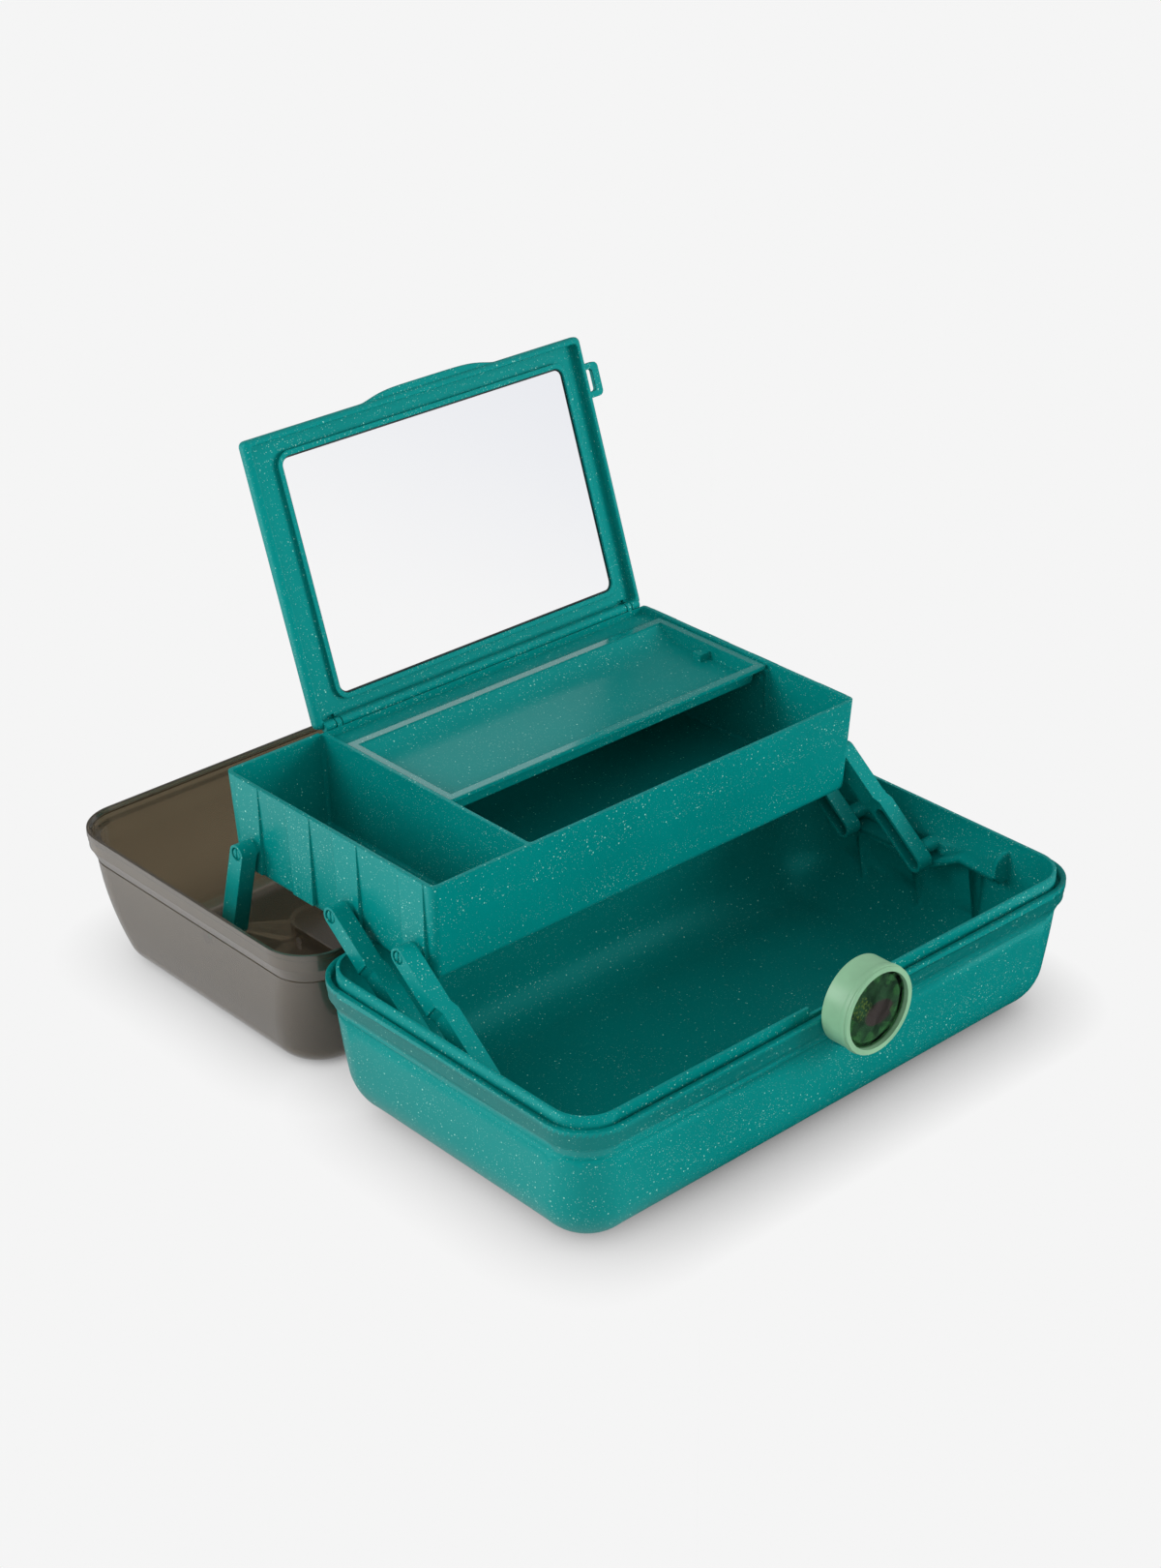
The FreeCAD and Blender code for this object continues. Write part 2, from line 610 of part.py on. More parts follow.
island = new_body("handle_island")
island_half = well_length / 2 + S.shell_wall
island_width = S.well_width / 2 + S.shell_wall
pad(island, rounded(new_sketch(island, "XY"), -island_half, island_half, lid_middle - island_width,
                    lid_middle + island_width, S.well_corner + S.shell_wall),
    S.well_depth + S.shell_floor)
well = new_body("handle_well")
pad(well, rounded(new_sketch(well, "XY", -1.0), -well_length / 2, well_length / 2,
                  lid_middle - S.well_width / 2, lid_middle + S.well_width / 2, S.well_corner),
    S.well_depth + 1.0)

lid_bosses = []
lid_bores = []
for side in SIDES:
    out = SIDES[side]["out"]
    face = outer_face(side, Size(0.0)) + out * S.side_play
    lid_bosses.append(along_x("lid_boss_" + side, S.boss_radius, face, out * half_length, lid_pivot))
    lid_bores.append(along_x("lid_bore_" + side, S.base_pin_radius + S.seat_play, face,
                             face + out * S.pin_seat, lid_pivot))
lid_boss_set = boolean("Common", "lid_bosses_trimmed", [
    boolean("Fuse", "lid_boss_set", lid_bosses), lid_outer])

handle_y = lid_middle + S.well_width / 2 - S.handle_pivot_inset
handle_z = S.handle_rest_gap + S.handle_thick / 2
handle_pin_reach = well_length / 2 + S.shell_wall
lid_knuckles = new_body("lid_knuckles")
hinge_knuckles(lid_knuckles, 1, lid_spans)
knuckles_in_lid = boolean("Cut", "lid_knuckles_bored", [
    lid_knuckles, boolean("Compound", "lid_hinge_bores",
                          hinge_bars("lid_hinge_bore", S.hinge_pin_radius + S.play))])
lid_removed = boolean("Fuse", "lid_removed", [well] + hinge_clearances("base_knuckle_room", base_spans)
                      + lid_bores + [cylinder("handle_bore", "X", S.handle_pin_radius + S.seat_play,
                                              handle_pin_reach * 2, (handle_y, handle_z),
                                              -handle_pin_reach)])
lid_whole = boolean("Fuse", "lid_whole", [lid_cup, island, lid_boss_set])
lid_cut = boolean("Cut", "lid_cut", [lid_whole, lid_removed])
lid_shell = boolean("Fuse", "lid_shell", [lid_cut, knuckles_in_lid])

lid_hinge_pins = boolean("Compound", "lid_hinge_pins", hinge_bars("lid_hinge_pin", S.hinge_pin_radius))


# ---------------------------------------------------------------- arms, studs and pins

def place_arm(body, pivot, angle):
    body.Placement = Placement(Vector(0, float(pivot[0]), float(pivot[1])),
                               Rotation(Vector(1, 0, 0), float(angle)))
    bind(body, "Placement.Base.y", pivot[0])
    bind(body, "Placement.Base.z", pivot[1])
    body.setExpression("Placement.Rotation.Angle", "%s * 1 deg" % size(angle).text)


def arm(label, side, pivot, length, angle, joggle, tail, step_at):
    """Moulded arm along its own Y from the lower pivot: a bent bar met with a round-ended outline."""
    out = SIDES[side]["out"]
    upper = SIDES[side]["low"]
    lower = upper + joggle
    half = S.arm_width / 2
    ramp = S.joggle_ramp / 2
    bent = new_body(label + "_bent")
    polygon_pad = new_sketch(bent, "XY", -half)
    polygon(polygon_pad, [(lower, -tail), (lower + S.arm_thick, -tail),
                          (lower + S.arm_thick, step_at - ramp), (upper + S.arm_thick, step_at + ramp),
                          (upper + S.arm_thick, length + half), (upper, length + half),
                          (upper, step_at + ramp), (lower, step_at - ramp)])
    pad(bent, polygon_pad, S.arm_width)
    if float(joggle) > 0:
        ridge_at = upper - S.joggle_ridge if out < 0 else upper + S.arm_thick - 1.0
        pad(bent, rectangle(new_sketch(bent, "YZ", ridge_at), step_at + ramp, step_at + ramp + 1.2,
                            -half, half), S.joggle_ridge + 1.0)
    depth = S.arm_thick - S.channel_web
    start = lower if out > 0 else lower + S.channel_web
    cut(bent, slot(new_sketch(bent, "YZ", start), half - tail, 0.0, step_at - half - 2.0, 0.0,
                   half - S.channel_wall), depth)
    cut(bent, circle(new_sketch(bent, "YZ", lower), 0.0, 0.0, S.base_pin_radius + S.play), S.arm_thick)
    cut(bent, circle(new_sketch(bent, "YZ", upper), length, 0.0, S.stud_radius + S.play), S.arm_thick)
    recess = upper if out < 0 else upper + S.arm_thick - S.recess_depth
    cut(bent, circle(new_sketch(bent, "YZ", recess), length, 0.0, S.recess_radius), S.recess_depth)
    outline = new_body(label + "_outline")
    pad(outline, slot(new_sketch(outline, "YZ", upper - 1.0), half - tail, 0.0, length, 0.0, half),
        S.arm_thick + joggle + 2.0)
    made = boolean("Common", label, [bent, outline])
    place_arm(made, pivot, angle)
    return made


arms = []
for side in SIDES:
    arms.append(arm("front_arm_" + side, side, front_pivot, S.arm_length, S.arm_angle,
                    S.arm_joggle, S.arm_tail, S.joggle_at))
    arms.append(arm("middle_arm_" + side, side, middle_pivot, S.arm_length, S.arm_angle,
                    S.arm_joggle, S.arm_tail, S.joggle_at))
    arms.append(arm("rear_arm_" + side, side, lid_pivot, S.rear_arm_length, S.rear_arm_angle,
                    Size(0.0), S.arm_width / 2, S.rear_arm_length / 2))


def stud(label, side, spot, start):
    """Split snap stud: shank from the start value out to a slotted head in the arm's recess."""
    out = SIDES[side]["out"]
    face = outer_face(side, Size(0.0))
    floor = face - out * S.recess_depth
    under_head = floor + out * 0.1
    shank = along_x(label + "_shank", S.stud_radius, start, under_head, spot)
    head = along_x(label + "_head", S.stud_head_radius, under_head,
                   under_head + out * S.stud_head_thick, spot)
    tip = under_head + out * S.stud_head_thick
    low, high = (tip, tip + 4.0) if out < 0 else (tip - 4.0, tip)
    split = block(label + "_split", low, high, spot[0] - S.stud_head_radius - 1.0,
                  spot[0] + S.stud_head_radius + 1.0, spot[1] - S.stud_slot / 2,
                  spot[1] + S.stud_slot / 2)
    return boolean("Cut", label, [boolean("Fuse", label + "_whole", [shank, head]), split])


def pin(label, side, spot, joggle):
    """Headed pivot pin: seated in a boss, through the arm's web, head in its channel."""
    out = SIDES[side]["out"]
    face = outer_face(side, joggle)
    seat = face + out * (S.side_play + S.pin_seat)
    under_head = face - out * (S.channel_web + 0.2)
    shank = along_x(label + "_shank", S.base_pin_radius, under_head, seat, spot)
    head = along_x(label + "_head", S.base_pin_radius + 0.7, under_head,
                   under_head - out * S.stud_head_thick, spot)
    return boolean("Fuse", label, [shank, head])


boss_back = tray_half - S.tray_draft - 0.6
stud_sets = []
for name, spot in (("front", front_stud), ("middle", middle_stud)):
    stud_sets.append(boolean("Compound", name + "_studs", [
        stud("%s_stud_%s" % (name, side), side, spot, SIDES[side]["out"] * boss_back)
        for side in SIDES]))
rear_studs = boolean("Compound", "rear_studs", [
    stud("rear_stud_" + side, side, rear_stud,
         outer_face(side, Size(0.0)) - SIDES[side]["out"] * S.arm_thick) for side in SIDES])
base_arm_pins = boolean("Compound", "base_arm_pins", [
    pin("base_pin_%s_%s" % (name, side), side, spot, S.arm_joggle)
    for side in SIDES for name, spot in (("front", front_pivot), ("middle", middle_pivot))])
lid_arm_pins = boolean("Compound", "lid_arm_pins", [
    pin("lid_pin_" + side, side, lid_pivot, Size(0.0)) for side in SIDES])


# ---------------------------------------------------------------- tray

def drafted_box(label, left, right, front, rear, top, deep, draft, radius, upright=None):
    """Box whose sides draw in by the draft over its depth; the upright side stays plumb."""
    body = new_body(label)
    block_pad = pad(body, rectangle(new_sketch(body, "XY", top), left, right, front, rear), deep)
    block_pad.Reversed = True
    doc.recompute()
    faces = list(enumerate(block_pad.Shape.Faces, start=1))
    roof = ["Face%d" % i for i, face in faces if face.normalAt(0, 0).z > 0.5]
    sides = ["Face%d" % i for i, face in faces if abs(face.normalAt(0, 0).z) < 0.5 and not (
        upright is not None and abs(face.CenterOfMass.x - float(upright)) < 1e-4)]
    draw = body.newObject("PartDesign::Draft", label + "_draft")
    draw.Base = (block_pad, sides)
    draw.NeutralPlane = (block_pad, roof)
    draw.Reversed = True
    bind(draw, "Angle", Size(math.degrees(math.atan2(float(draft), float(deep))),
                             "atan(%s / %s)" % (size(draft).text, size(deep).text)))
    low = float(top) - float(deep)
    round_edges(body, radius, lambda edge: edge.BoundBox.ZMax < low + 1e-3
                or edge.BoundBox.ZLength > float(deep) / 2)
    return body


tray_outer = drafted_box("tray_outer", -tray_half, tray_half, tray_front, tray_rear, tray_top,
                         S.tray_height, S.tray_draft, S.tray_round)


def compartment(label, left, right, upright):
    """Drafted hollow between two walls of the tray."""
    return drafted_box(label, left, right, tray_front + S.tray_wall, tray_rear - S.tray_wall,
                       tray_top, S.tray_height - S.tray_floor, S.tray_draft, S.room_round, upright)


wall_pads = new_body("tray_wall_pads")
hook_y = rear_stud_y - S.hook_ahead
for spot, ahead in ((rear_stud_y, 4.5), (hook_y, 10.9), (middle_stud_y, 7.1), (front_stud_y, 5.5)):
    for start in (-tray_half - S.pad_proud, tray_half - S.tray_wall):
        polygon_pad = new_sketch(wall_pads, "YZ", start)
        fore = spot - ahead
        polygon(polygon_pad, [(fore, tray_bottom + S.tray_round), (fore, tray_top),
                              (fore + S.pad_width + S.pad_flare, tray_top),
                              (fore + S.pad_width, tray_bottom + S.tray_round)])
        pad(wall_pads, polygon_pad, S.tray_wall + S.pad_proud)
hook = new_sketch(wall_pads, "YZ", -tray_half - S.hook_proud)
hook_low = tray_bottom + S.tray_round
polygon(hook, [(hook_y - 3.5, hook_low), (hook_y + 3.0, hook_low + 1.0),
               (hook_y + 1.0, hook_low + S.hook_height)])
pad(wall_pads, hook, S.hook_proud + S.tray_wall)

half_wall = S.tray_wall / 2
side_room = compartment("side_room", S.tray_wall - tray_half, partition_x - half_wall,
                        partition_x - half_wall)
main_room = compartment("main_room", partition_x + half_wall, tray_half - S.tray_wall,
                        partition_x + half_wall)
ledge_top = tray_top - S.ledge_drop
ledge_left = partition_x + half_wall
ledge_right = tray_half - S.tray_wall
insert_front = tray_front + S.tray_wall + S.insert_front_gap
insert_rear = tray_rear - S.tray_wall - S.shelf_depth - S.insert_rear_gap
rib_front = insert_front - S.rib_thick + 0.6
room_rear = tray_rear - S.tray_wall
ledges = [
    block("ledge_left", ledge_left - 0.5, ledge_left + S.ledge_width, rib_front, room_rear,
          ledge_top - S.ledge_thick, ledge_top),
    block("ledge_right", ledge_right - S.ledge_width, ledge_right + 0.5, rib_front, room_rear,
          ledge_top - S.ledge_thick, ledge_top),
    block("rib_left", ledge_left - 0.5, ledge_left + S.rib_proud, rib_front,
          rib_front + S.rib_thick, tray_bottom + S.tray_floor / 2, ledge_top),
    block("rib_right", ledge_right - S.rib_proud, ledge_right + 0.5, rib_front,
          rib_front + S.rib_thick, tray_bottom + S.tray_height / 3, ledge_top),
    block("ledge_rear", ledge_left, ledge_right, room_rear - S.shelf_depth, room_rear + 0.5,
          ledge_top - S.ledge_thick, ledge_top)]

mirror_ears = new_body("mirror_ears")
for centre in (ear_left, ear_right):
    sketch = new_sketch(mirror_ears, "YZ", centre - S.ear_thick / 2)
    slot(sketch, mirror_y - 0.6, mirror_z - 5.0, mirror_y, mirror_z, S.ear_radius)
    pad(mirror_ears, sketch, S.ear_thick)

tray_bosses = []
tray_bores = []
for side in SIDES:
    out = SIDES[side]["out"]
    face = outer_face(side, Size(0.0)) - out * (S.arm_thick + S.side_play)
    for name, spot in (("front", front_stud), ("middle", middle_stud), ("rear", rear_stud)):
        tray_bosses.append(along_x("tray_boss_%s_%s" % (name, side), S.boss_radius,
                                   out * boss_back, face, spot))
        if name != "rear":
            tray_bores.append(along_x("tray_bore_%s_%s" % (name, side), S.stud_radius + S.seat_play,
                                      out * boss_back, face, spot))
ear_bores = [cylinder("ear_bore_%d" % i, "X", S.mirror_pin_radius + S.seat_play, S.ear_thick,
                      (mirror_y, mirror_z), centre - S.ear_thick / 2)
             for i, centre in enumerate((ear_left, ear_right))]
tray_block = boolean("Fuse", "tray_block", [tray_outer, wall_pads])
tray_cup = boolean("Cut", "tray_cup", [tray_block, boolean("Compound", "tray_rooms",
                                                           [side_room, main_room])])
barrel_room = cylinder("mirror_barrel_room", "X", S.ear_radius + S.knuckle_play,
                       mirror_right - mirror_left + 2.0, (mirror_y, mirror_z), mirror_left - 1.0)
tray_notched = boolean("Cut", "tray_notched", [tray_cup, barrel_room])
tray_whole = boolean("Fuse", "tray_whole", [tray_notched, mirror_ears] + ledges + tray_bosses)
ear_gap = S.ear_thick / 2 + S.ear_play
tray = boolean("Cut", "tray", [tray_whole, boolean("Compound", "tray_bored", tray_bores + ear_bores)])

# ---- shallow tray, resting on the ledges

insert_left = ledge_left + S.insert_play
insert_right = ledge_right - S.insert_play
insert_form = new_body("insert_form")
rim_low = ledge_top + 0.3
insert_top = rim_low + S.insert_rim_thick
pad(insert_form, rounded(new_sketch(insert_form, "XY", rim_low), insert_left, insert_right,
                         insert_front, insert_rear, 1.5), S.insert_rim_thick)


def insert_rect(sketch, inset, corner):
    return rounded(sketch, insert_left + inset, insert_right - inset, insert_front + inset,
                   insert_rear - inset, corner)


insert_bottom = insert_top - S.insert_deep
loft(insert_form, "AdditiveLoft", [
    insert_rect(new_sketch(insert_form, "XY", insert_bottom), S.insert_rim + 1.0, 4.0),
    insert_rect(new_sketch(insert_form, "XY", rim_low + 0.5), S.insert_rim, 4.0)], ruled=True)
scoop_inset = S.insert_rim + S.insert_wall
scoop_left = insert_left + scoop_inset
scoop_right = insert_right - scoop_inset
scoop_floor = insert_bottom + S.insert_wall
scoop_rear = insert_rear - scoop_inset
scoop_flat = scoop_rear - S.scoop_reach
flat_room = block("scoop_flat", scoop_left, scoop_right, insert_front + scoop_inset, scoop_flat,
                  scoop_floor, insert_top + 1.0)
round_room = boolean("Common", "scoop_round", [
    block("scoop_bounds", scoop_left, scoop_right, scoop_flat - 0.5, scoop_rear, scoop_floor,
          insert_top + 1.0),
    cylinder("scoop_bowl", "X", S.scoop_radius, scoop_right - scoop_left,
             (scoop_flat, scoop_floor + S.scoop_radius), scoop_left)])
insert_peg = block("insert_peg", scoop_right - S.peg_length, scoop_right + 0.5,
                   insert_front + S.peg_behind - S.peg_width / 2,
                   insert_front + S.peg_behind + S.peg_width / 2, scoop_floor - 0.5,
                   scoop_floor + S.peg_height)
insert_cup = boolean("Cut", "insert_cup", [insert_form, boolean("Fuse", "scoop",
                                                                [flat_room, round_room])])
insert_tray = boolean("Fuse", "insert_tray", [insert_cup, insert_peg])


# ---------------------------------------------------------------- mirror

def place_mirror(body):
    body.Placement = Placement(Vector(0, float(mirror_y), float(mirror_z)),
                               Rotation(Vector(1, 0, 0), float(S.mirror_lean)))
    bind(body, "Placement.Base.y", mirror_y)
    bind(body, "Placement.Base.z", mirror_z)
    body.setExpression("Placement.Rotation.Angle", "%s * 1 deg" % S.mirror_lean.text)


mirror_frame = new_body("mirror_frame")
frame_back = S.mirror_face - S.mirror_thick
plate_front = frame_back + S.mirror_plate
pad(mirror_frame, rounded(new_sketch(mirror_frame, "XY", frame_back), mirror_left, mirror_right,
                          -S.mirror_foot, S.mirror_tip, 3.0), S.mirror_thick)
round_edges(mirror_frame, S.mirror_round, lambda edge: edge.BoundBox.ZLength < 1e-3)
cut(mirror_frame, rounded(new_sketch(mirror_frame, "XY", plate_front), mirror_left + S.skirt,
                          mirror_right - S.skirt, S.skirt - S.mirror_foot,
                          S.mirror_tip - S.skirt, 2.0), S.mirror_thick)
round_edges(mirror_frame, S.skirt_round, lambda edge: at_height(S.mirror_face)(edge)
            and edge.BoundBox.XMin > float(mirror_left + S.skirt) - 0.01
            and edge.BoundBox.XMax < float(mirror_right - S.skirt) + 0.01
            and edge.BoundBox.YMin > float(S.skirt - S.mirror_foot) - 0.01
            and edge.BoundBox.YMax < float(S.mirror_tip - S.skirt) + 0.01)
glass_low_z = plate_front - S.glass_sunk


def glass_rect(sketch, grow, corner):
    return rounded(sketch, glass_left - grow, glass_right + grow, S.glass_low - grow,
                   S.glass_high + grow, corner)


bead = new_sketch(mirror_frame, "XY", plate_front)
glass_rect(bead, S.glass_play + S.bead_width, S.glass_corner + S.bead_width)
glass_rect(bead, S.glass_play, S.glass_corner + S.glass_play)
pad(mirror_frame, bead, S.bead_height)
cut(mirror_frame, glass_rect(new_sketch(mirror_frame, "XY", glass_low_z), S.glass_play,
                             S.glass_corner + S.glass_play), S.mirror_thick)
thumb = new_sketch(mirror_frame, "XY", frame_back + S.mirror_round - S.thumb_thick / 3)
thumb_middle = (mirror_left + mirror_right) / 2 + S.thumb_offset
THUMB_STEPS = 6
thumb_line = [(thumb_middle - S.thumb_half, S.mirror_tip - 1.0)]
for step in range(THUMB_STEPS + 1):
    share = 2.0 * step / THUMB_STEPS - 1.0
    thumb_line.append((thumb_middle + S.thumb_half * share * 0.98,
                       S.mirror_tip + S.thumb_rise * (1.0 - share * share)))
thumb_line.append((thumb_middle + S.thumb_half, S.mirror_tip - 1.0))
polygon(thumb, thumb_line)
pad(mirror_frame, thumb, S.thumb_thick)
loop = new_sketch(mirror_frame, "XY", frame_back)
rounded(loop, mirror_right - 1.0, mirror_right + S.loop_out, S.loop_low, S.loop_high, 3.0)
pad(mirror_frame, loop, S.mirror_plate)
loop_hole = new_sketch(mirror_frame, "XY", frame_back)
rounded(loop_hole, mirror_right + S.loop_root, mirror_right + S.loop_out - S.loop_wall,
        S.loop_low + S.loop_rail, S.loop_high - S.loop_rail, 1.5)
cut(mirror_frame, loop_hole, S.mirror_plate)
barrel_inset = S.skirt
pad(mirror_frame, circle(new_sketch(mirror_frame, "YZ", mirror_left + barrel_inset), 0.0, 0.0,
                         S.ear_radius), mirror_right - mirror_left - 2 * barrel_inset)
for centre in (ear_left, ear_right):
    notch = new_sketch(mirror_frame, "XY", frame_back - 1.0)
    rectangle(notch, centre - ear_gap, centre + ear_gap, -S.ear_radius - 1.0,
              S.ear_radius + S.ear_play + 0.6)
    cut(mirror_frame, notch, S.mirror_thick + S.ear_radius + 2.0)
for centre in (ear_left, ear_right):
    bore = new_sketch(mirror_frame, "YZ", centre - 8.0)
    circle(bore, 0.0, 0.0, S.mirror_pin_radius + S.play)
    cut(mirror_frame, bore, Size(16.0))
place_mirror(mirror_frame)

mirror_glass = new_body("mirror_glass")
pad(mirror_glass, glass_rect(new_sketch(mirror_glass, "XY", glass_low_z), Size(0.0), S.glass_corner),
    S.glass_thick)
place_mirror(mirror_glass)

pin_half = ear_gap + S.mirror_knuckle - 0.4
mirror_hinge_pins = boolean("Compound", "mirror_hinge_pins", [
    cylinder("mirror_pin_%d" % i, "X", S.mirror_pin_radius, pin_half * 2, (mirror_y, mirror_z),
             centre - pin_half) for i, centre in enumerate((ear_left, ear_right))])


# ---------------------------------------------------------------- latch

def latch_circle(body, y, radius):
    """Circle facing forwards at a y value; XZ sketches look along -Y."""
    return circle(new_sketch(body, "XZ", -y), 0.0, latch_z, radius)


latch_ring = new_body("latch_ring")
pad(latch_ring, latch_circle(latch_ring, latch_rear, S.latch_radius), S.latch_depth)
seat_y = latch_front + S.disc_sunk + S.disc_thick
cut(latch_ring, latch_circle(latch_ring, seat_y, S.latch_radius - S.latch_rim),
    S.disc_sunk + S.disc_thick)
cut(latch_ring, latch_circle(latch_ring, latch_rear - S.latch_back,
                             S.latch_radius - S.latch_rim - S.disc_seat),
    S.latch_depth - S.latch_back)
for centre in (-S.latch_ear_out, S.latch_ear_out):
    gap = S.latch_ear_thick / 2 + S.side_play
    notch = new_sketch(latch_ring, "YZ", centre - gap)
    rectangle(notch, latch_pin_y - S.latch_ear_radius - 0.5, latch_rear + 1.0,
              latch_z - S.latch_radius - 1.0, latch_pin_z + S.latch_ear_radius + 0.5)
    cut(latch_ring, notch, gap * 2)
cut(latch_ring, circle(new_sketch(latch_ring, "YZ", -latch_pin_reach), latch_pin_y, latch_pin_z,
                       S.latch_pin_radius + S.play), latch_pin_reach * 2)

disc_radius = S.latch_radius - S.latch_rim - S.glass_play
latch_disc = cylinder("latch_disc", "Y", disc_radius, S.disc_thick - S.lens_thick, (0.0, latch_z),
                      seat_y - S.disc_thick + S.lens_thick)
latch_lens = cylinder("latch_lens", "Y", disc_radius, S.lens_thick, (0.0, latch_z),
                      seat_y - S.disc_thick)
latch_pin = cylinder("latch_pin", "X", S.latch_pin_radius, latch_pin_reach * 2,
                     (latch_pin_y, latch_pin_z), -latch_pin_reach)


# ---------------------------------------------------------------- handle

handle_form = new_body("handle_form")
handle_half = S.handle_length / 2
for start in (-handle_half, handle_half - S.handle_leg):
    leg = new_sketch(handle_form, "YZ", start)
    slot(leg, handle_y - S.handle_reach, handle_z, handle_y, handle_z, S.handle_thick / 2)
    pad(handle_form, leg, S.handle_leg)
bar = new_sketch(handle_form, "YZ", -handle_half)
bar_y = handle_y - S.handle_reach
rounded(bar, bar_y - S.handle_bar / 2, bar_y + S.handle_bar / 2, handle_z - S.handle_thick / 2,
        handle_z + S.handle_thick / 2, 2.5)
pad(handle_form, bar, S.handle_length)
cut(handle_form, circle(new_sketch(handle_form, "YZ", -handle_half), handle_y, handle_z,
                   S.handle_pin_radius + S.play), S.handle_length)
handle_plan = new_body("handle_plan")
pad(handle_plan, rounded(new_sketch(handle_plan, "XY"), -handle_half, handle_half,
                         bar_y - S.handle_bar / 2, handle_y + S.handle_corner + S.handle_thick,
                         S.handle_corner), S.well_depth)
handle = boolean("Common", "handle", [handle_form, handle_plan])
handle_pins = boolean("Compound", "handle_pins", [
    along_x("handle_pin_" + side, S.handle_pin_radius, out * (handle_half - S.handle_leg + 2.0),
            out * handle_pin_reach, (handle_y, handle_z)) for side, out in (("left", -1), ("right", 1))])


# ---------------------------------------------------------------- check and write

nodes = [base_shell, latch_pin, lid_hinge_pins, base_arm_pins, lid_shell, lid_arm_pins, handle_pins,
         handle, latch_ring, latch_disc, latch_lens, tray, mirror_hinge_pins, insert_tray,
         mirror_frame, mirror_glass, rear_studs] + stud_sets + arms

doc.recompute()
for item in doc.Objects:
    if "Invalid" in item.State or "Error" in item.State:
        raise RuntimeError("%s did not build: %s" % (item.Label, item.State))

os.makedirs("parts", exist_ok=True)
for node in nodes:
    shape = node.Shape
    if shape.isNull() or not shape.isValid() or not shape.Solids:
        raise RuntimeError("%s has no sound shape" % node.Label)
    shape.exportStep("parts/%s.step" % node.Label)
    print("%-20s %3d solids %10.1f mm3" % (node.Label, len(shape.Solids), shape.Volume))
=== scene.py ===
"""Dresses the cosmetics case: its moulded plastics, mirror and latch, and the studio round it."""
import json
import logging
import math
from dataclasses import dataclass, field
from enum import Enum

import bmesh
import bpy
import numpy as np
from mathutils import Matrix, Vector


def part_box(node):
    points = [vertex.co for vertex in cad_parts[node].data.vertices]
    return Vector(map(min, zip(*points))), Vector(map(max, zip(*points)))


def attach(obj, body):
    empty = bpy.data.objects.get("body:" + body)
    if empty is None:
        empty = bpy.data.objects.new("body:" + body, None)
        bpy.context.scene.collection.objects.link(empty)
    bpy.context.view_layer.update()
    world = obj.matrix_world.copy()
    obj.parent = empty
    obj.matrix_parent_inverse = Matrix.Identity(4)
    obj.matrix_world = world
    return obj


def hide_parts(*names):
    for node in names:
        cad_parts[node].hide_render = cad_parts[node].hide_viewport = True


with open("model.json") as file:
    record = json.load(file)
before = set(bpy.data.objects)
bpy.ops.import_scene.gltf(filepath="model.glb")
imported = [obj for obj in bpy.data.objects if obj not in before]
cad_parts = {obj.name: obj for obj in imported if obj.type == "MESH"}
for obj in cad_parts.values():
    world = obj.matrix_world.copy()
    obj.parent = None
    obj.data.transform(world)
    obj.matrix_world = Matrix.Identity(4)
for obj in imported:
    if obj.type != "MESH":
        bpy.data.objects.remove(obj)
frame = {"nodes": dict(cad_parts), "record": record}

log = logging.getLogger("cosmetics_case")
MM = 0.001
CORNER_STEPS = 10
FINE_CORNER_STEPS = 16


class Body(Enum):
    """The bodies of the case that carry pieces."""

    BASE = "base"
    LID = "lid"
    REAR_ARMS = "rear_arms"
    TRAY = "tray_body"
    INSERT = "insert_body"
    MIRROR = "mirror_body"
    LATCH = "latch_body"


# ------------------------------------------------------------------ materials


